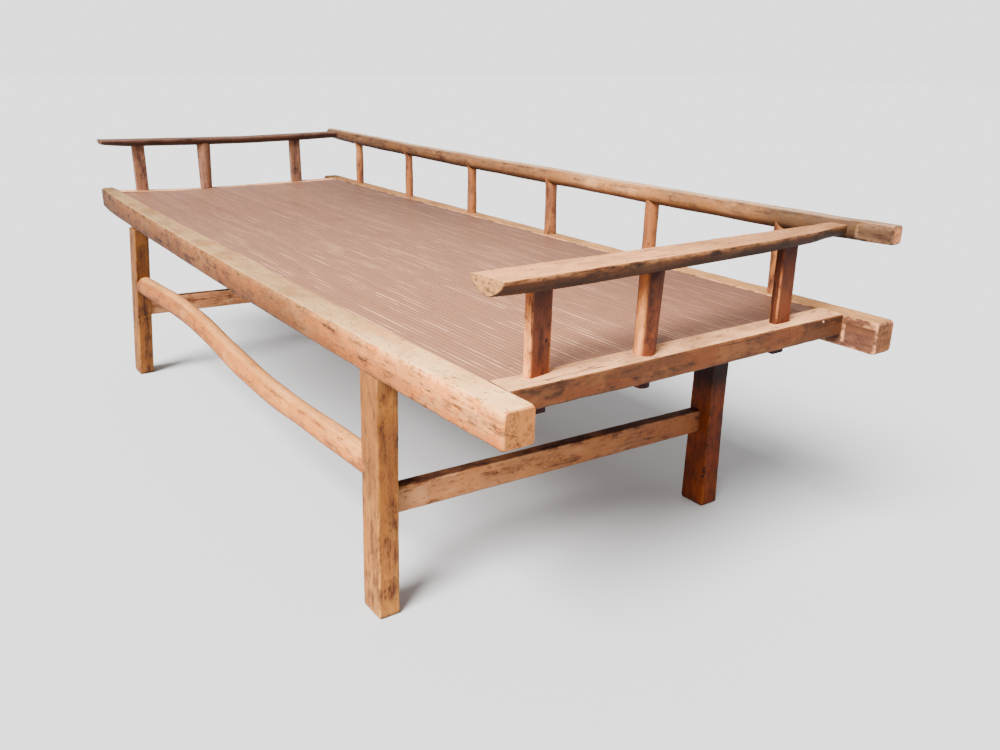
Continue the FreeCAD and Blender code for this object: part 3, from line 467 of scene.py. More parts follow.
# Each rail's outer face, roundings, and how its top and its bottom run from front to back
END_RAILS = {
    "left_end_rail": (
        -1027, (3.5, 2, 0, 0, 2, 2.5),
        ((-333, 6), (-300, 5), (-243, 1.6), (-121, -3), (0, -3.2), (200, -2), (356, 0)),
        ((-333, -36), (356, -36)),
    ),
    "right_end_rail": (
        1009, (2.5, 2, 0, 0, 2, 2.5),
        ((-333, 2.5), (-270, 1.5), (-150, 1.5), (60, 2), (356, 2)),
        ((-285, -34), (-210, -34), (-130, -35.7), (0, -36), (356, -35)),
    ),
}
for side, (name, (outer, rounds, tops, bottoms)) in zip((-1, 1), END_RAILS.items()):
    stations = []
    for y in np.linspace(*CROSS_ENDS, 60):
        top, bottom = read(tops, y), read(bottoms, y)
        corners = [
            (0, bottom), (RAIL_LIP, bottom), (RAIL_LIP, LEDGE), (RAIL_INNER, LEDGE),
            (RAIL_INNER, top), (0, top - 0.6),
        ]
        if side < 0:
            corners = [(-u, v) for u, v in reversed(corners)]
        stations.append(((outer, y, SEAT), ring_of(corners, rounds)))
    thing = skin(
        name + "_timber", stations, CROSSWISE, pith=(0.02, -0.05), seed=8.7 + side,
        dents=0.6, chips=0.6, chop=(0, 0),
    )
    fit(thing, name, end_wood)

# LEGS
# Four squared legs, tenoned up into the long rails. The left pair leans outwards.
# Their feet are worn round and a little ragged from the floor.

# Painted light and shade: front faces paled, the left legs darker, and the legs darker towards
# their tops under the rails.
leg_wood = timber(
    "leg wood", ("462311", "885125", "9a5d22", "bd833e", "b57845"), dust_and_top_shade=0.5, bleach=0.3,
    streaks=0.6, painted_front_light=0.12, place_tints=((0, -0.9, 0.8, "dadada", 0.3), (2, 0.26, 0.07, "dad6ce", 0.3)),
)
# Much darker than the front legs' wood: partly the back legs' own darker wood, partly painted shade
# under the seat; above 0.29 m darker still, painted shade under the rail.
back_leg_wood = timber(
    "dark leg wood", ("290c00", "561c00", "6b2901", "7c3e03", "784708"), dust_and_top_shade=0.4, bleach=0.2,
    streaks=0.8, place_tints=((2, 0.29, 0.225, "5a443c", 0.8),),
    knots=(
        ((0.7385, 0.3555, 0.088), 0.0035), ((0.738, 0.3555, 0.08), 0.005),
        ((0.737, 0.3555, 0.069), 0.0045),
    ),
)

LEG_TOP = 426
# Each leg's line at its top and at its foot, its depth and its wood
LEGS = {
    "front_left_leg": ((-689.2, -368.5), (-751.2, -384.5), 37, leg_wood),
    "front_right_leg": ((711, -368.5), (703.6, -373.3), 37, leg_wood),
    "back_left_leg": ((-689.2, 376.5), (-751.2, 376.5), 43, back_leg_wood),
    "back_right_leg": ((716.5, 376.5), (710.3, 376.5), 43, back_leg_wood),
}
for number, (name, (top, foot, depth, wood)) in enumerate(LEGS.items()):
    stations = []
    for z in np.linspace(0, LEG_TOP, 44):
        part = min(z, LEG_TOP - 1) / (LEG_TOP - 1)
        x = foot[0] + (top[0] - foot[0]) * part
        y = foot[1] + (top[1] - foot[1]) * part
        width = 55.5 - part + 0.6 * math.sin(z / 70 + number)
        if number < 2:
            sides = (-width / 2 - 3, width / 2, -depth / 2, depth / 2 + 1.5)
        else:
            # the back legs spread a little to the right towards the floor
            spread = read(((0, 4), (240, -2), (LEG_TOP, -1)), z)
            sides = (-width / 2 - 1, width / 2 + spread, -depth / 2, depth / 2)
        ring = box_ring(*sides, (2.5, 2.5, 3, 3))
        stations.append(((x, y, z), ring))
    thing = skin(
        name + "_timber", stations, UPRIGHT, pith=(0.025 - 0.02 * number, 0.03),
        seed=20.3 + 3.1 * number, dents=0.3, chips=0.4, chop=(6, 0),
    )
    fit(thing, name, wood)

# FRONT STRETCHER
# A natural pole, peeled and left bent, with a whittled tenon at each end.
# It is pushed into round holes in the two front legs.

# Painted shade by place: darker towards the left end.
pole_wood = timber(
    "peeled pole wood", ("7c441d", "b96f34", "c2742f", "da9553", "de9a57"), dust_and_top_shade=0.7, bleach=0.4,
    streaks=0.45, place_tints=((0, -1.2, 0.9, "968c84", 0.3),),
)

POLE_PLACE = -368.5
POLE_SHOULDER, POLE_TENON = 690, 40
# Places along the pole, and there its level and its girth
POLE_LINE = (
    (-708, 266), (-680, 266), (-636, 268), (-543, 273), (-443, 278), (-340, 281), (-228, 280),
    (-140, 274.5), (-60, 266), (59, 255), (177, 248), (287, 246.5), (387, 249.5), (474, 252.5),
    (557, 256), (629, 258), (690, 260), (704, 260),
)
POLE_GIRTH = ((-706, 50), (-700, 50), (-250, 49), (250, 46), (702, 45))

stations = []
for x in np.linspace(-706, 702, 130):
    level = sum(read(POLE_LINE, x + shift) for shift in np.linspace(-45, 45, 9)) / 9
    girth = read(POLE_GIRTH, x) + 1.2 * math.sin(x / 90) + 0.8 * math.sin(x / 37)
    if abs(x) > POLE_SHOULDER:
        girth = POLE_TENON
    stations.append(((x, POLE_PLACE, level), oval_ring(girth, girth * 1.02)))
front_stretcher = skin(
    "front_stretcher_pole", stations, LENGTHWISE, pith=(0.0, 0.004), seed=41.0,
    dents=0.9, chips=0, chop=(0, 0),
)
fit(front_stretcher, "front_stretcher", pole_wood)

# END STRETCHERS
# Flat rails between the front and back legs, tenoned at both ends, lower at the back.
# The front stretcher and these two are all that braces the legs; there is none at the back.

# Painted shade: the dark top colour shades the top faces under the bed, and the tint darkens them
# towards the back under the seat; the right stretcher is a little darker than the left.
stretcher_wood = timber(
    "stretcher wood", ("562b18", "a26a44", "b17144", "c7906b", "341a0e"), dust_and_top_shade=0.95, bleach=0.4,
    streaks=0.6, place_tints=((0, 0.5, -0.5, "e6e6da", 0.3), (1, 0.3, -0.1, "ccbcbc", 0.3)),
)

# The stretchers' levels at the front and at the back
STRETCHER_LEVELS = ((-350, 201), (355, 184))
stretcher_ring = box_ring(-13, 13, -23.5, 23.5, (3, 3, 3, 3))
for side, name, middle in ((-1, "left_end_stretcher", -715.9), (1, "right_end_stretcher", 701.1)):
    (front, high), (back, low) = STRETCHER_LEVELS
    stations = [
        ((middle, y, high + (low - high) * (y - front) / (back - front)), stretcher_ring)
        for y in np.linspace(-362, 358, 50)
    ]
    thing = skin(
        name + "_timber", stations, CROSSWISE, pith=(0.03, 0.05), seed=50.5 + side,
        dents=0.5, chips=0.4, chop=(0, 0),
    )
    fit(thing, name, stretcher_wood)

# BEARERS
# Five sawn battens let into the long rails, level with the end rails' ledges.
# They carry the bamboo and only show from below.

SEAT_LEFT, SEAT_SPAN = -978, 1938
BEARER_LEVEL = 462
batten_ring = box_ring(-21, 21, -12, 11.9, (2, 2, 1.5, 1.5))
for number, share in enumerate((0.175, 0.3375, 0.5, 0.6625, 0.825), start=1):
    middle = SEAT_LEFT + SEAT_SPAN * share
    stations = [((middle, y, BEARER_LEVEL), batten_ring) for y in np.linspace(*CROSS_ENDS, 40)]
    thing = skin(
        f"bearer_{number}_batten", stations, CROSSWISE, pith=(0.02, 0.03), seed=60.0 + number,
        dents=0.5, chop=(0, 0),
    )
    fit(thing, f"bearer_{number}", end_wood)

# BAMBOO SEAT
# Seventy split strips lie side by side along the bed, skin side up, and a wide lath along the back.
# Each has its own tone and joints, and pale broken lines: rubbed edges with painted highlight.

bamboo = bpy.data.materials.new("old split bamboo")
bamboo.use_nodes = True
begin = Socket(bamboo.node_tree)
grain = begin.node("ShaderNodeAttribute", {"attribute_name": "grain"}, output=1)
tint = begin.node("ShaderNodeAttribute", {"attribute_name": "tint"}, output=2)
rim = begin.node("ShaderNodeAttribute", {"attribute_name": "worn"}, output=2)
place = begin.node("ShaderNodeTexCoord", output=3)
near, deep = place.axis(0), place.axis(1)
stained = place.stretched(3.4, 5.5, 1).cloud(5.0, 0.62)
trodden = place.stretched(1.7, 2.6, 1).cloud(3.0, 0.5)
slow = begin.node("ShaderNodeCombineXYZ", {}, {0: near * 9 + tint * 61, 1: tint * 37})
quick = begin.node("ShaderNodeCombineXYZ", {}, {0: near * 5 + tint * 97, 1: tint * 53})
own, dashes = slow.cloud(2.0, 0.5), quick.cloud(4.0)
hairs = grain.stretched(7, 700, 700).cloud(4.0)
knot = 1 - begin.math("PINGPONG", near * 2.8 + tint * 5.7, 0.5).between(0.0, 0.014)
# Where the painted light falls: strongest at the front right of the seat.
lit_front_right = near.between(-0.7, 0.9) * (1 - deep.between(-0.2, 0.4))
body = (tint * 0.5 + own * 0.5).mixed("5f3b2b", "7e553e")
body = (hairs.between(0.4, 0.62) * 0.3).mixed(body, "532f1f")
body = (stained.between(0.45, 0.6) * 0.45).mixed(body, "6e4631")
body = (trodden.between(0.45, 0.62) * 0.35).mixed(body, "73503c")
# Painted light: the seat paler towards the front right.
body = (lit_front_right * 0.35).mixed(body, "b07758")
# Painted shade: darker towards the back right, and darker towards the back over the left half.
body = (deep.between(0.0, 0.4) * near.between(0.2, 1.0) * 0.4).mixed(body, "593423")
shaded = 0.7 - 0.5 * near.between(-0.4, 0.2)
body = (deep.between(0.0, 0.4) * shaded * near.between(-1.3, -0.7)).mixed(body, "3e2418")
# Pale rubbed edges of the skin, strongest towards the front right: partly wear, partly painted
# highlight.
edge = rim * dashes.between(0.48, 0.66) * (0.2 + 0.8 * lit_front_right)
body = (edge * 0.6).mixed(body, "edb58d")
body = (knot * 0.3).mixed(body, "532e1c")
height = hairs + own * 0.4 + knot
bump = begin.node("ShaderNodeBump", {}, {"Strength": 0.5, "Distance": 0.0006, "Height": height})
surface(bamboo, body, 0.42 + 0.25 * hairs + 0.15 * edge, bump, 0.35)


def strip_tree():
    """Rows of strips from one strip: each turned, toned and lifted a little differently."""
    group = bpy.data.node_groups.new("laid strips", "GeometryNodeTree")
    face = group.interface
    face.new_socket("Strip", in_out="INPUT", socket_type="NodeSocketGeometry")
    for label, kind in (
        ("Count", "NodeSocketInt"), ("Pitch", "NodeSocketFloat"), ("First", "NodeSocketVector"),
        ("Seed", "NodeSocketInt"), ("Lift", "NodeSocketFloat"), ("Finish", "NodeSocketMaterial"),
    ):
        face.new_socket(label, in_out="INPUT", socket_type=kind)
    face.new_socket("Strips", in_out="OUTPUT", socket_type="NodeSocketGeometry")
    make, join = group.nodes.new, group.links.new
    into, out = make("NodeGroupInput"), make("NodeGroupOutput")
    pitch = make("ShaderNodeCombineXYZ")
    join(into.outputs["Pitch"], pitch.inputs["Y"])
    line = make("GeometryNodeMeshLine")
    line.mode = "OFFSET"
    join(into.outputs["Count"], line.inputs["Count"])
    join(into.outputs["First"], line.inputs["Start Location"])
    join(pitch.outputs[0], line.inputs["Offset"])
    turn = make("FunctionNodeRandomValue")
    turn.data_type = "FLOAT_VECTOR"
    turn.inputs["Min"].default_value = (-0.012, -0.0004, -0.0003)
    turn.inputs["Max"].default_value = (0.012, 0.0004, 0.0003)
    join(into.outputs["Seed"], turn.inputs["Seed"])
    lay = make("GeometryNodeInstanceOnPoints")
    join(line.outputs["Mesh"], lay.inputs["Points"])
    join(into.outputs["Strip"], lay.inputs["Instance"])
    spin = make("FunctionNodeEulerToRotation")
    join(turn.outputs[0], spin.inputs[0])
    join(spin.outputs[0], lay.inputs["Rotation"])
    tone = make("FunctionNodeRandomValue")
    tone.data_type = "FLOAT"
    join(into.outputs["Seed"], tone.inputs["Seed"])
    keep_tone = make("GeometryNodeStoreNamedAttribute")
    keep_tone.data_type, keep_tone.domain = "FLOAT", "INSTANCE"
    keep_tone.inputs["Name"].default_value = "tint"
    join(lay.outputs[0], keep_tone.inputs["Geometry"])
    join(tone.outputs[1], keep_tone.inputs["Value"])
    real = make("GeometryNodeRealizeInstances")
    join(keep_tone.outputs[0], real.inputs[0])
    # each strip rides up and down on its neighbours, along its own line of noise
    where, tone_back = make("GeometryNodeInputPosition"), make("GeometryNodeInputNamedAttribute")
    tone_back.data_type = "FLOAT"
    tone_back.inputs["Name"].default_value = "tint"
    spread = make("ShaderNodeMath")
    spread.operation = "MULTIPLY"
    spread.inputs[1].default_value = 400.0
    join(tone_back.outputs[0], spread.inputs[0])
    wave = make("ShaderNodeTexNoise")
    wave.noise_dimensions = "4D"
    wave.inputs["Scale"].default_value = 1.0
    squeeze = make("ShaderNodeVectorMath")
    squeeze.operation = "MULTIPLY"
    squeeze.inputs[1].default_value = (3.0, 2.0, 0.0)
    join(where.outputs[0], squeeze.inputs[0])
    join(squeeze.outputs[0], wave.inputs["Vector"])
    join(spread.outputs[0], wave.inputs["W"])
    drop = make("ShaderNodeMath")
    drop.operation = "MULTIPLY"
    join(wave.outputs[0], drop.inputs[0])
    join(into.outputs["Lift"], drop.inputs[1])
    down = make("ShaderNodeCombineXYZ")
    join(drop.outputs[0], down.inputs["Z"])
    move = make("GeometryNodeSetPosition")
    join(real.outputs[0], move.inputs["Geometry"])
    join(down.outputs[0], move.inputs["Offset"])
    finish = make("GeometryNodeSetMaterial")
    join(move.outputs[0], finish.inputs["Geometry"])
    join(into.outputs["Finish"], finish.inputs["Material"])
    join(finish.outputs[0], out.inputs[0])
    return group


def bamboo_strip(name, length, width, thick):
    """One split strip about its middle: convex skin, square edges rubbed along their tops."""
    verts, grain, wears = [], [], []
    half = width / 2
    # one edge from its bottom corner up: how far in from the side, level and wear
    edge = (
        (0.6, -thick, 0), (0, -thick + 0.8, 0), (0, -1.1, 0.6), (0.5, -0.4, 1), (1.5, -0.2, 0.3),
    )
    one = [(half - inwards, level, wear) for inwards, level, wear in edge] + [(half * 0.4, 0, 0)]
    other = [(-across, level, wear) for across, level, wear in reversed(one)]
    outline = other[-1:] + one + other[:-1]
    places = np.linspace(-length / 2, length / 2, 41)
    for x in places:
        for y, z, wear in outline:
            verts.append((x * MM, y * MM, (z - 0.1) * MM))
            grain.append((x * MM, y * MM, z * MM))
            wears.append(wear)
    return timber_object(name, verts, tube_faces(len(places), len(outline)), grain, {"worn": wears})


laid_strips = strip_tree()
STRIP_STEP = 664 / 70
STRIP_GAP = 0.7
STRIP_THICKNESS = 5.6
STRIP_LENGTH = 1936.9
STRIP_START = SEAT_LEFT + 0.6
CORNER_RISE = 0.0045


def lay_strips(name, node, first, count, width, seed):
    """Lay one group of strips from its first one's middle and keep it as a plain mesh."""
    base = bamboo_strip(name, STRIP_LENGTH, width, STRIP_THICKNESS)
    lay = base.modifiers.new("lay", "NODES")
    lay.node_group = laid_strips
    settings = {
        "Count": count, "Pitch": STRIP_STEP * MM, "Seed": seed, "Lift": -0.0022, "Finish": bamboo,
        "First": ((STRIP_LENGTH / 2 + STRIP_START) * MM, first * MM, (SEAT - 0.1) * MM),
    }
    for item in laid_strips.interface.items_tree:
        if item.in_out == "INPUT" and item.name in settings:
            lay[item.identifier] = settings[item.name]
    graph = bpy.context.evaluated_depsgraph_get()
    mesh = bpy.data.meshes.new_from_object(base.evaluated_get(graph))
    base.modifiers.remove(lay)
    for vertex in mesh.vertices:
        # the strips rise with the rails at the front left corner
        spot = vertex.co
        away = ((spot.x - SEAT_LEFT * MM) / 0.13) ** 2 + ((spot.y - FRONT_INNER * MM) / 0.08) ** 2
        spot.z += CORNER_RISE * math.exp(-away)
    base.data = mesh
    fit(base, node, bamboo)


# Each group's name, its first strip and its count, from the front; then the lath
STRIP_GROUPS = (("front", 0, 23), ("middle", 23, 23), ("back", 46, 24))
LATH_LINE, LATH_WIDTH = 342.4, 22.2
for number, (place_name, start, count) in enumerate(STRIP_GROUPS):
    first = FRONT_INNER + STRIP_STEP * (start + 0.5)
    lay_strips(
        f"bamboo_{place_name}", f"bamboo_strips_{place_name}", first, count,
        STRIP_STEP - STRIP_GAP, 3 + number,
    )
lay_strips("bamboo_lath", "back_lath", LATH_LINE, 1, LATH_WIDTH, 9)

# BACK HANDRAIL
# A long peeled pole, a little bent, set on six posts; its right end is squared off as a horn.
# The armrests are let into its front.

handrail_wood = timber(
    "handrail wood", ("4d2a17", "8f623d", "9d6636", "fab379", "b89677"), dust_and_top_shade=0.75, bleach=0.16,
    streaks=0.5, ends="ac6e46",
    place_tints=(
        (0, 0.12, 0.36, "bcb8b4", 0.3), (0, 0.64, 0.42, "ccc8c4", 0.3),
        (0, -0.75, -0.05, "c2c0c0", 0.3), (0, 0.86, 0.77, "aab4c6", 0.1),
    ),
)

ROUND_END = 990
# Places along the rail, and there its level, height, depth, line and squareness
HANDRAIL = (
    (-1063, 625, 30, 30, 379, 2), (-893, 621.4, 37, 36, 379, 2), (-733, 618.8, 37, 36, 379, 2),
    (-483, 616.8, 36, 35, 379, 2), (-167, 615.4, 37, 36, 379, 2), (199, 616.4, 38, 37, 379, 2),
    (477, 615.8, 37, 36, 379, 2), (616, 616.4, 38, 37, 379, 2), (835, 617.4, 38, 37, 379, 2.1),
    (950, 618.8, 36, 35, 379, 2.3), (1001, 620.6, 34, 33, 378.8, 2.8),
    (1005, 621.2, 33.5, 31, 376.8, 5.5), (1040, 622.2, 33, 29.5, 376.2, 6.5),
    (1071, 623, 32, 28, 376, 6.5),
)

stations = []
for x in np.concatenate([np.linspace(-1063, 996, 160), np.linspace(1000, 1071, 28)]):
    shifts = (-12, -6, 0, 6, 12) if x < ROUND_END else (-1, 0, 1)
    readings = [[read(HANDRAIL, x + shift, column) for column in range(1, 6)] for shift in shifts]
    level, girth, depth, middle, square = np.mean(readings, axis=0)
    if x < ROUND_END:
        swell = 0.7 * math.sin(x / 61) + 0.5 * math.sin(x / 23)
        girth, depth = girth + swell, depth + swell
    ring, worn = oval_ring(depth, girth, square)
    # the horn starts with an upright edge, just past the armrest, rubbed pale
    worn = worn + (abs(x - 1006) < 3) * (ring[:, 0] < 0)
    stations.append(((x, middle, level), (ring, worn)))
handrail = skin(
    "handrail_pole", stations, LENGTHWISE, pith=(0.002, 0.004), seed=71.0,
    dents=0.7, chips=0.4, chop=(5, 3),
)
fit(handrail, "back_handrail", handrail_wood)

# BACK POSTS
# Six round sticks, tenoned into the back rail and coped to the handrail above.
# No two are quite the same girth, and a few lean.

post_wood = timber(
    "back post wood", ("3d1e10", "7b492d", "8e5428", "ac7344", "9d6e45"), dust_and_top_shade=0.3, bleach=0.35,
    streaks=0.6, painted_front_light=0.25,
)

POST_LINE = 379
POST_HEIGHT = 136
# Each post's place along the rail, its radius, and how far its top leans sideways and back
POSTS = (
    (-847, 12.3, -1, 2), (-520, 12.2, 1, 0), (-177, 13, -1, 1),
    (169, 14.4, 0, -1), (508.5, 15.7, 2, 1), (845, 15, -2, 0),
)
for number, (x, radius, lean_x, lean_y) in enumerate(POSTS, start=1):
    stations = []
    for z in list(np.linspace(478, 594, 20)) + list(np.linspace(597, 612, 7)):
        part = (z - SEAT) / POST_HEIGHT
        girth = 2 * radius * (1 - 0.06 * part) + 0.8 * math.sin(z / 17 + number)
        # the top is coped, and its two tongues ride up the handrail's sides
        tongue = float(read(((596, 0), (611, 1)), z))
        deep = girth * (1 + 0.03 * math.sin(number * 2.0))
        ring = oval_ring(girth * (1 - 0.5 * tongue ** 2), deep + (36.5 - deep) * tongue)
        stations.append(((x + lean_x * part, POST_LINE + lean_y * part, z), ring))
    thing = skin(
        f"back_post_{number}_stick", stations, UPRIGHT, pith=(0.001, 0.003),
        seed=80.0 + 2.3 * number, dents=1.0, chips=0, chop=(0, 0),
    )
    fit(thing, f"back_post_{number}", post_wood)

# ARMRESTS
# Half logs, flat side up, from a free tip at the front into the handrail at the back.
# The right one is wider, its outer side cut back at the handrail; the left one thins at its tip.

# Painted shade by place: the armrest darker towards its back end, at the handrail.
arm_wood = timber(
    "armrest wood", ("210f06", "4b2812", "5d3216", "af7547", "da9562"), dust_and_top_shade=0.97, bleach=0.15,
    streaks=0.6, ends="ae7848", place_tints=((1, 0.35, -0.2, "bababa", 1.0),),
)
# A darker copy of the armrest wood, dark on top too: painted shade on the far armrest.
shaded_left_arm_wood = timber(
    "left armrest wood", ("2f1910", "533529", "5c3a2a", "67493b", "5c443a"), dust_and_top_shade=0.8, bleach=0.3,
    streaks=0.5,
)


def half_log(width, depth, cut_back=0.0, square=2.3, lip=2.2, count=16):
    """Flat top at zero, round underside, both top edges rubbed; cut_back narrows the outer side."""
    points, worn = [], []
    for bend in range(count + 1):
        turn = math.pi * bend / count
        reach = (abs(math.cos(turn)) ** square + abs(math.sin(turn)) ** square) ** (-1 / square)
        across = -math.cos(turn) * reach * width / 2
        points.append((across, -lip - math.sin(turn) * reach * (depth - lip)))
        worn.append(0.0)
    for part in (0.0, 0.5, 1.0):
        turn = part * math.pi / 2
        points.append((width / 2 - lip * (1 - math.cos(turn)), -lip + lip * math.sin(turn)))
        worn.append(1.0)
    for part in (0.04, 0.25, 0.5, 0.75, 0.96):
        points.append((width / 2 - lip - (width - 2 * lip) * part, 0))
        worn.append(0.0)
    for part in (1.0, 0.5, 0.0):
        turn = part * math.pi / 2
        points.append((-width / 2 + lip * (1 - math.cos(turn)), -lip + lip * math.sin(turn)))
        worn.append(1.0)
    del points[0], worn[0], points[count - 1], worn[count - 1]
    points = np.array(points)
    points[:, 0] += cut_back * np.clip(-points[:, 0] / (width / 2), 0, 1)
    return points, np.array(worn)


ARM_WOODS = {"right": arm_wood, "left": shaded_left_arm_wood}
ARM_LINES = {"right": 981, "left": -999}
# Places from the tip back, and there each one's middle, width, depth, top and cut-back
ARMS = {
    "right": (
        (-354, 981.8, 67, 26, 628, 0), (-330, 981.3, 66.5, 27, 628, 0), (-200, 981, 64, 28, 628, 0),
        (-60, 981, 62, 27, 628, 0), (150, 981, 58, 25, 628, 0), (273, 980, 55, 22, 628, 6),
        (310, 980, 56, 19, 628, 14), (341, 980, 57, 18, 628, 19), (372, 980, 57, 17.5, 628, 21),
    ),
    "left": (
        (-377, -999, 48, 14.5, 636, 0), (-366, -999, 51, 16, 635.6, 0),
        (-340, -999, 52, 18.5, 635, 0), (-300, -999, 52, 21, 634.2, 0),
        (-100, -999, 52, 22, 631, 0), (60, -999, 52, 21.5, 629.2, 0),
        (250, -999, 50, 21.5, 632, 0), (372, -999, 46, 20, 634, 0),
    ),
}
# How round each one's underside is, from its tip back, and how far its tip is cut askew
BELLIES = {"right": ((-354, 1.6), (-280, 2.3)), "left": ((-354, 2.3), (-280, 2.3))}
ASKEW = {"right": 0.11, "left": 0.05}

for number, (arm_name, table) in enumerate(ARMS.items()):
    stations = []
    for y in np.linspace(table[0][0], table[-1][0], 76):
        middle, width, depth, top, cut_back = (read(table, y, column) for column in range(1, 6))
        width += 0.6 * math.sin(y / 60 + number)
        ring = half_log(width, depth, cut_back, read(BELLIES[arm_name], y))
        stations.append(((middle, y, top), ring))
    thing = skin(
        f"{arm_name}_armrest_half_log", stations, CROSSWISE, pith=(0.004, 0.006),
        seed=101.0 + 4 * number, dents=0.6, chips=0.4, chop=(2.2, 0),
    )
    for vertex in thing.data.vertices:
        spot = vertex.co
        skew = ASKEW[arm_name] * (spot.x - ARM_LINES[arm_name] * MM)
        spot.y += skew * max(0, min(1, (-0.3 - spot.y) / 0.04))
    fit(thing, f"{arm_name}_armrest", ARM_WOODS[arm_name])

# ARM POSTS
# Three under each armrest: a flat stick in front, a round one in the middle, a flat one behind.
# Their tongues go through the end rail and stand out below it.

# Painted light and shade: front faces paled; the posts darker towards the top, painted shadow of
# the armrest, and darker towards the back; the tongues below the rail dark, partly darker wood,
# partly painted shade.
arm_post_wood = timber(
    "arm post wood", ("361609", "612f18", "73381a", "f6a059", "a3623b"), dust_and_top_shade=0.3, bleach=0.04,
    streaks=0.6, painted_front_light=0.85, knots=(((0.985, -0.257, 0.53), 0.005),),
    place_tints=(
        (2, 0.4405, 0.4435, "6a2c16", 0.3), (2, 0.61, 0.52, "a08878", 0.3),
        (1, 0.1, -0.2, "cec2b8", 0.3),
    ),
)
# The tongues below the rail are dark: partly darker wood, partly painted shade.
left_post_wood = timber(
    "left arm post wood", ("3c231d", "734f3c", "84563c", "926753", "8b634f"), dust_and_top_shade=0.3, bleach=0.1,
    streaks=0.4, place_tints=((2, 0.4405, 0.4435, "6a2c16", 0.3),),
)

MORTISES = (-271.2, -76.7, 222.8)
SHOULDER = 479
ARM_HEIGHT = 130
ROUND_TONGUE = 24.5
FLAT_TONGUE = box_ring(-5.5, 5.5, -14, 14, (1.2, 1.2, 1.2, 1.2))
# Each post's x at foot and head, y at foot and head, width and depth, and turn; a round post has
# its girths at foot and head instead of a width and a depth
ARM_POSTS = {
    "left": (
        ("front", -999, -1000.5, -271.2, -271.2, 16, 36, 0),
        ("middle", -999, -999, -78.5, -76, 36, 41, 0),
        ("rear", -999, -999, 220.5, 220.5, 16, 36, 0),
    ),
    "right": (
        ("front", 973.5, 984, -266.5, -272, 15, 42, 10.5),
        ("middle", 982, 983, -76.7, -71.7, 33, 36.5, 0),
        ("rear", 981.5, 981.5, 222.8, 222.8, 16, 36, 0),
    ),
}
for side, arm_name, wood in ((-1, "left", left_post_wood), (1, "right", arm_post_wood)):
    table = ARMS[arm_name]
    for number, (mortise, post) in enumerate(zip(MORTISES, ARM_POSTS[arm_name])):
        place_name, foot_x, head_x, foot_y, head_y, wide, deep, turn = post
        top = read(table, mortise, 4) - read(table, mortise, 3) + 8
        stations = []
        for z in list(np.linspace(429, 478, 8)) + list(np.linspace(479.2, top, 26)):
            part = max(0, (z - SEAT) / ARM_HEIGHT)
            x, y = foot_x + (head_x - foot_x) * part, foot_y + (head_y - foot_y) * part
            if z < SHOULDER:
                x, y = ARM_LINES[arm_name], mortise
            if place_name == "middle":
                girth = ROUND_TONGUE if z < SHOULDER else wide + (deep - wide) * part
                ring = oval_ring(girth, girth)
            elif z < SHOULDER:
                ring = FLAT_TONGUE
            else:
                sides = (-wide / 2, wide / 2, -deep / 2, deep / 2)
                ring, worn = box_ring(*sides, (2.5, 2.5, 2.5, 2.5))
                angle = math.radians(turn)
                spun = [[math.cos(angle), math.sin(angle)], [-math.sin(angle), math.cos(angle)]]
                ring = (ring @ np.array(spun), worn)
            stations.append(((x, y, z), ring))
        thing = skin(
            f"{arm_name}_{place_name}_stick", stations, UPRIGHT, pith=(0.004, 0.006),
            seed=120.0 + 5 * number + side, dents=0.6, chips=0.4, chop=(1.5, 0),
        )
        fit(thing, f"{arm_name}_arm_post_{place_name}", wood)

# BAMBOO NAIL
# A peg of split bamboo driven into the right end rail from outside, cut off almost flush.

peg_bamboo = timber("peg bamboo", ("986442", "b98a64", "c69a74", "d0aa88", "d0aa88"))
PEG_PLACE, PEG_WIDTH = (302.5, 476), 3.8
peg_ring = oval_ring(PEG_WIDTH, PEG_WIDTH, 2.4, 16)
stations = [((x, *PEG_PLACE), peg_ring) for x in np.linspace(990, 1009.6, 8)]
nail = skin("nail_peg", stations, LENGTHWISE, seed=140.0, dents=0.1, chips=0, chop=(0, 0.5))
fit(nail, "bamboo_nail", peg_bamboo)

# FLOOR, LIGHT AND CAMERA
# A plain pale floor in a pale room, with one soft source high in front, a little to the right.
# The camera stands at the right front corner, a little above the seat.

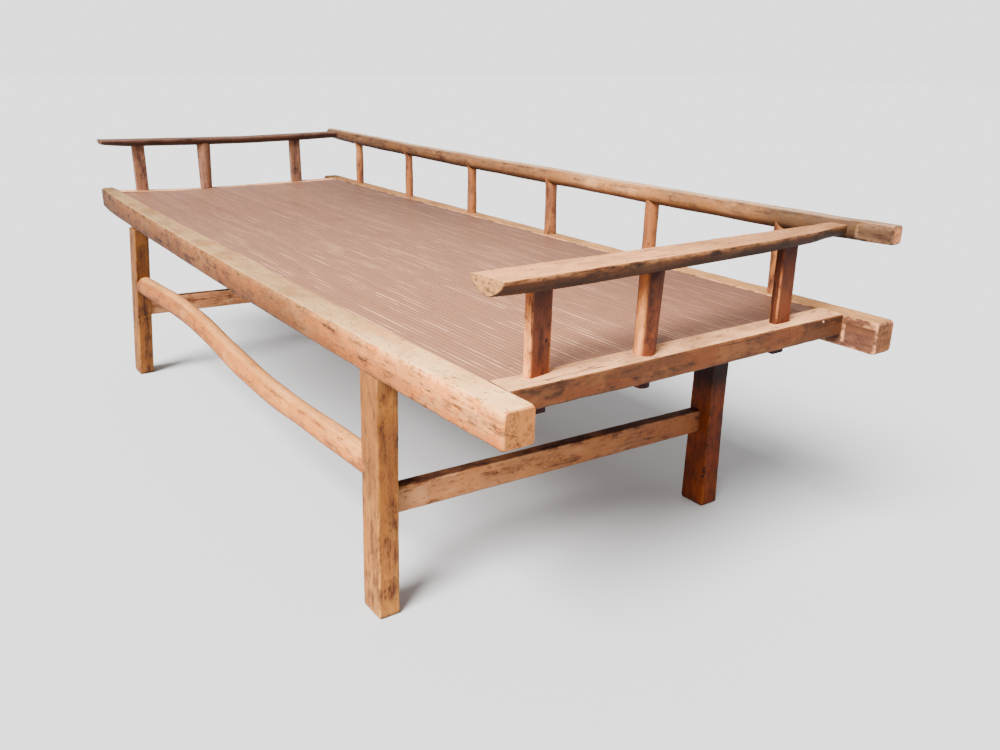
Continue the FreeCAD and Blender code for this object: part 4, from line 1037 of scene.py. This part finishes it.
floor_mesh = bpy.data.meshes.new("floor")
floor_mesh.from_pydata([(-30, -30, 0), (30, -30, 0), (30, 30, 0), (-30, 30, 0)], [], [(0, 1, 2, 3)])
floor = bpy.data.objects.new("floor", floor_mesh)
bpy.context.scene.collection.objects.link(floor)
plain = bpy.data.materials.new("plain floor")
plain.use_nodes = True
matt = plain.node_tree.nodes["Principled BSDF"].inputs
matt["Base Color"].default_value = (0.55, 0.55, 0.55, 1)
matt["Roughness"].default_value = 0.95
matt["Specular IOR Level"].default_value = 0.0
floor_mesh.materials.append(plain)

world = bpy.data.worlds.new("studio")
world.use_nodes = True
sky = world.node_tree
air = Socket(sky)
rise = air.node("ShaderNodeTexCoord", output=0).axis(2)
glow = 2.1 - 1.35 * rise.between(0.05, 0.2)
sky.links.new(glow.socket, sky.nodes["Background"].inputs["Strength"])
sky.nodes["Background"].inputs["Color"].default_value = (1.0, 1.0, 1.0, 1)
bpy.context.scene.world = world

lamp = bpy.data.lights.new("key", "SUN")
lamp.energy, lamp.angle = 14.5, math.radians(30)
lamp_object = bpy.data.objects.new("key", lamp)
lamp_object.rotation_euler = Vector((0.26, -0.66, 0.7)).to_track_quat("Z", "Y").to_euler()
bpy.context.scene.collection.objects.link(lamp_object)

YAW, PITCH, ROLL = (math.radians(angle) for angle in (55.026, 19.521, 0.8067))
flat = math.cos(PITCH)
forward = Vector((-math.sin(YAW) * flat, math.cos(YAW) * flat, -math.sin(PITCH)))
level_right = forward.cross(Vector((0, 0, 1))).normalized()
level_up = level_right.cross(forward)
right = math.cos(ROLL) * level_right + math.sin(ROLL) * level_up
above = -math.sin(ROLL) * level_right + math.cos(ROLL) * level_up
lens = bpy.data.cameras.new("camera")
lens.sensor_width, lens.lens = 36.0, 32.763
camera = bpy.data.objects.new("camera", lens)
turned = Matrix((right, above, -forward)).transposed().to_4x4()
camera.matrix_world = Matrix.Translation((1.89355, -0.9691, 0.8899)) @ turned
bpy.context.scene.collection.objects.link(camera)
bpy.context.scene.camera = camera
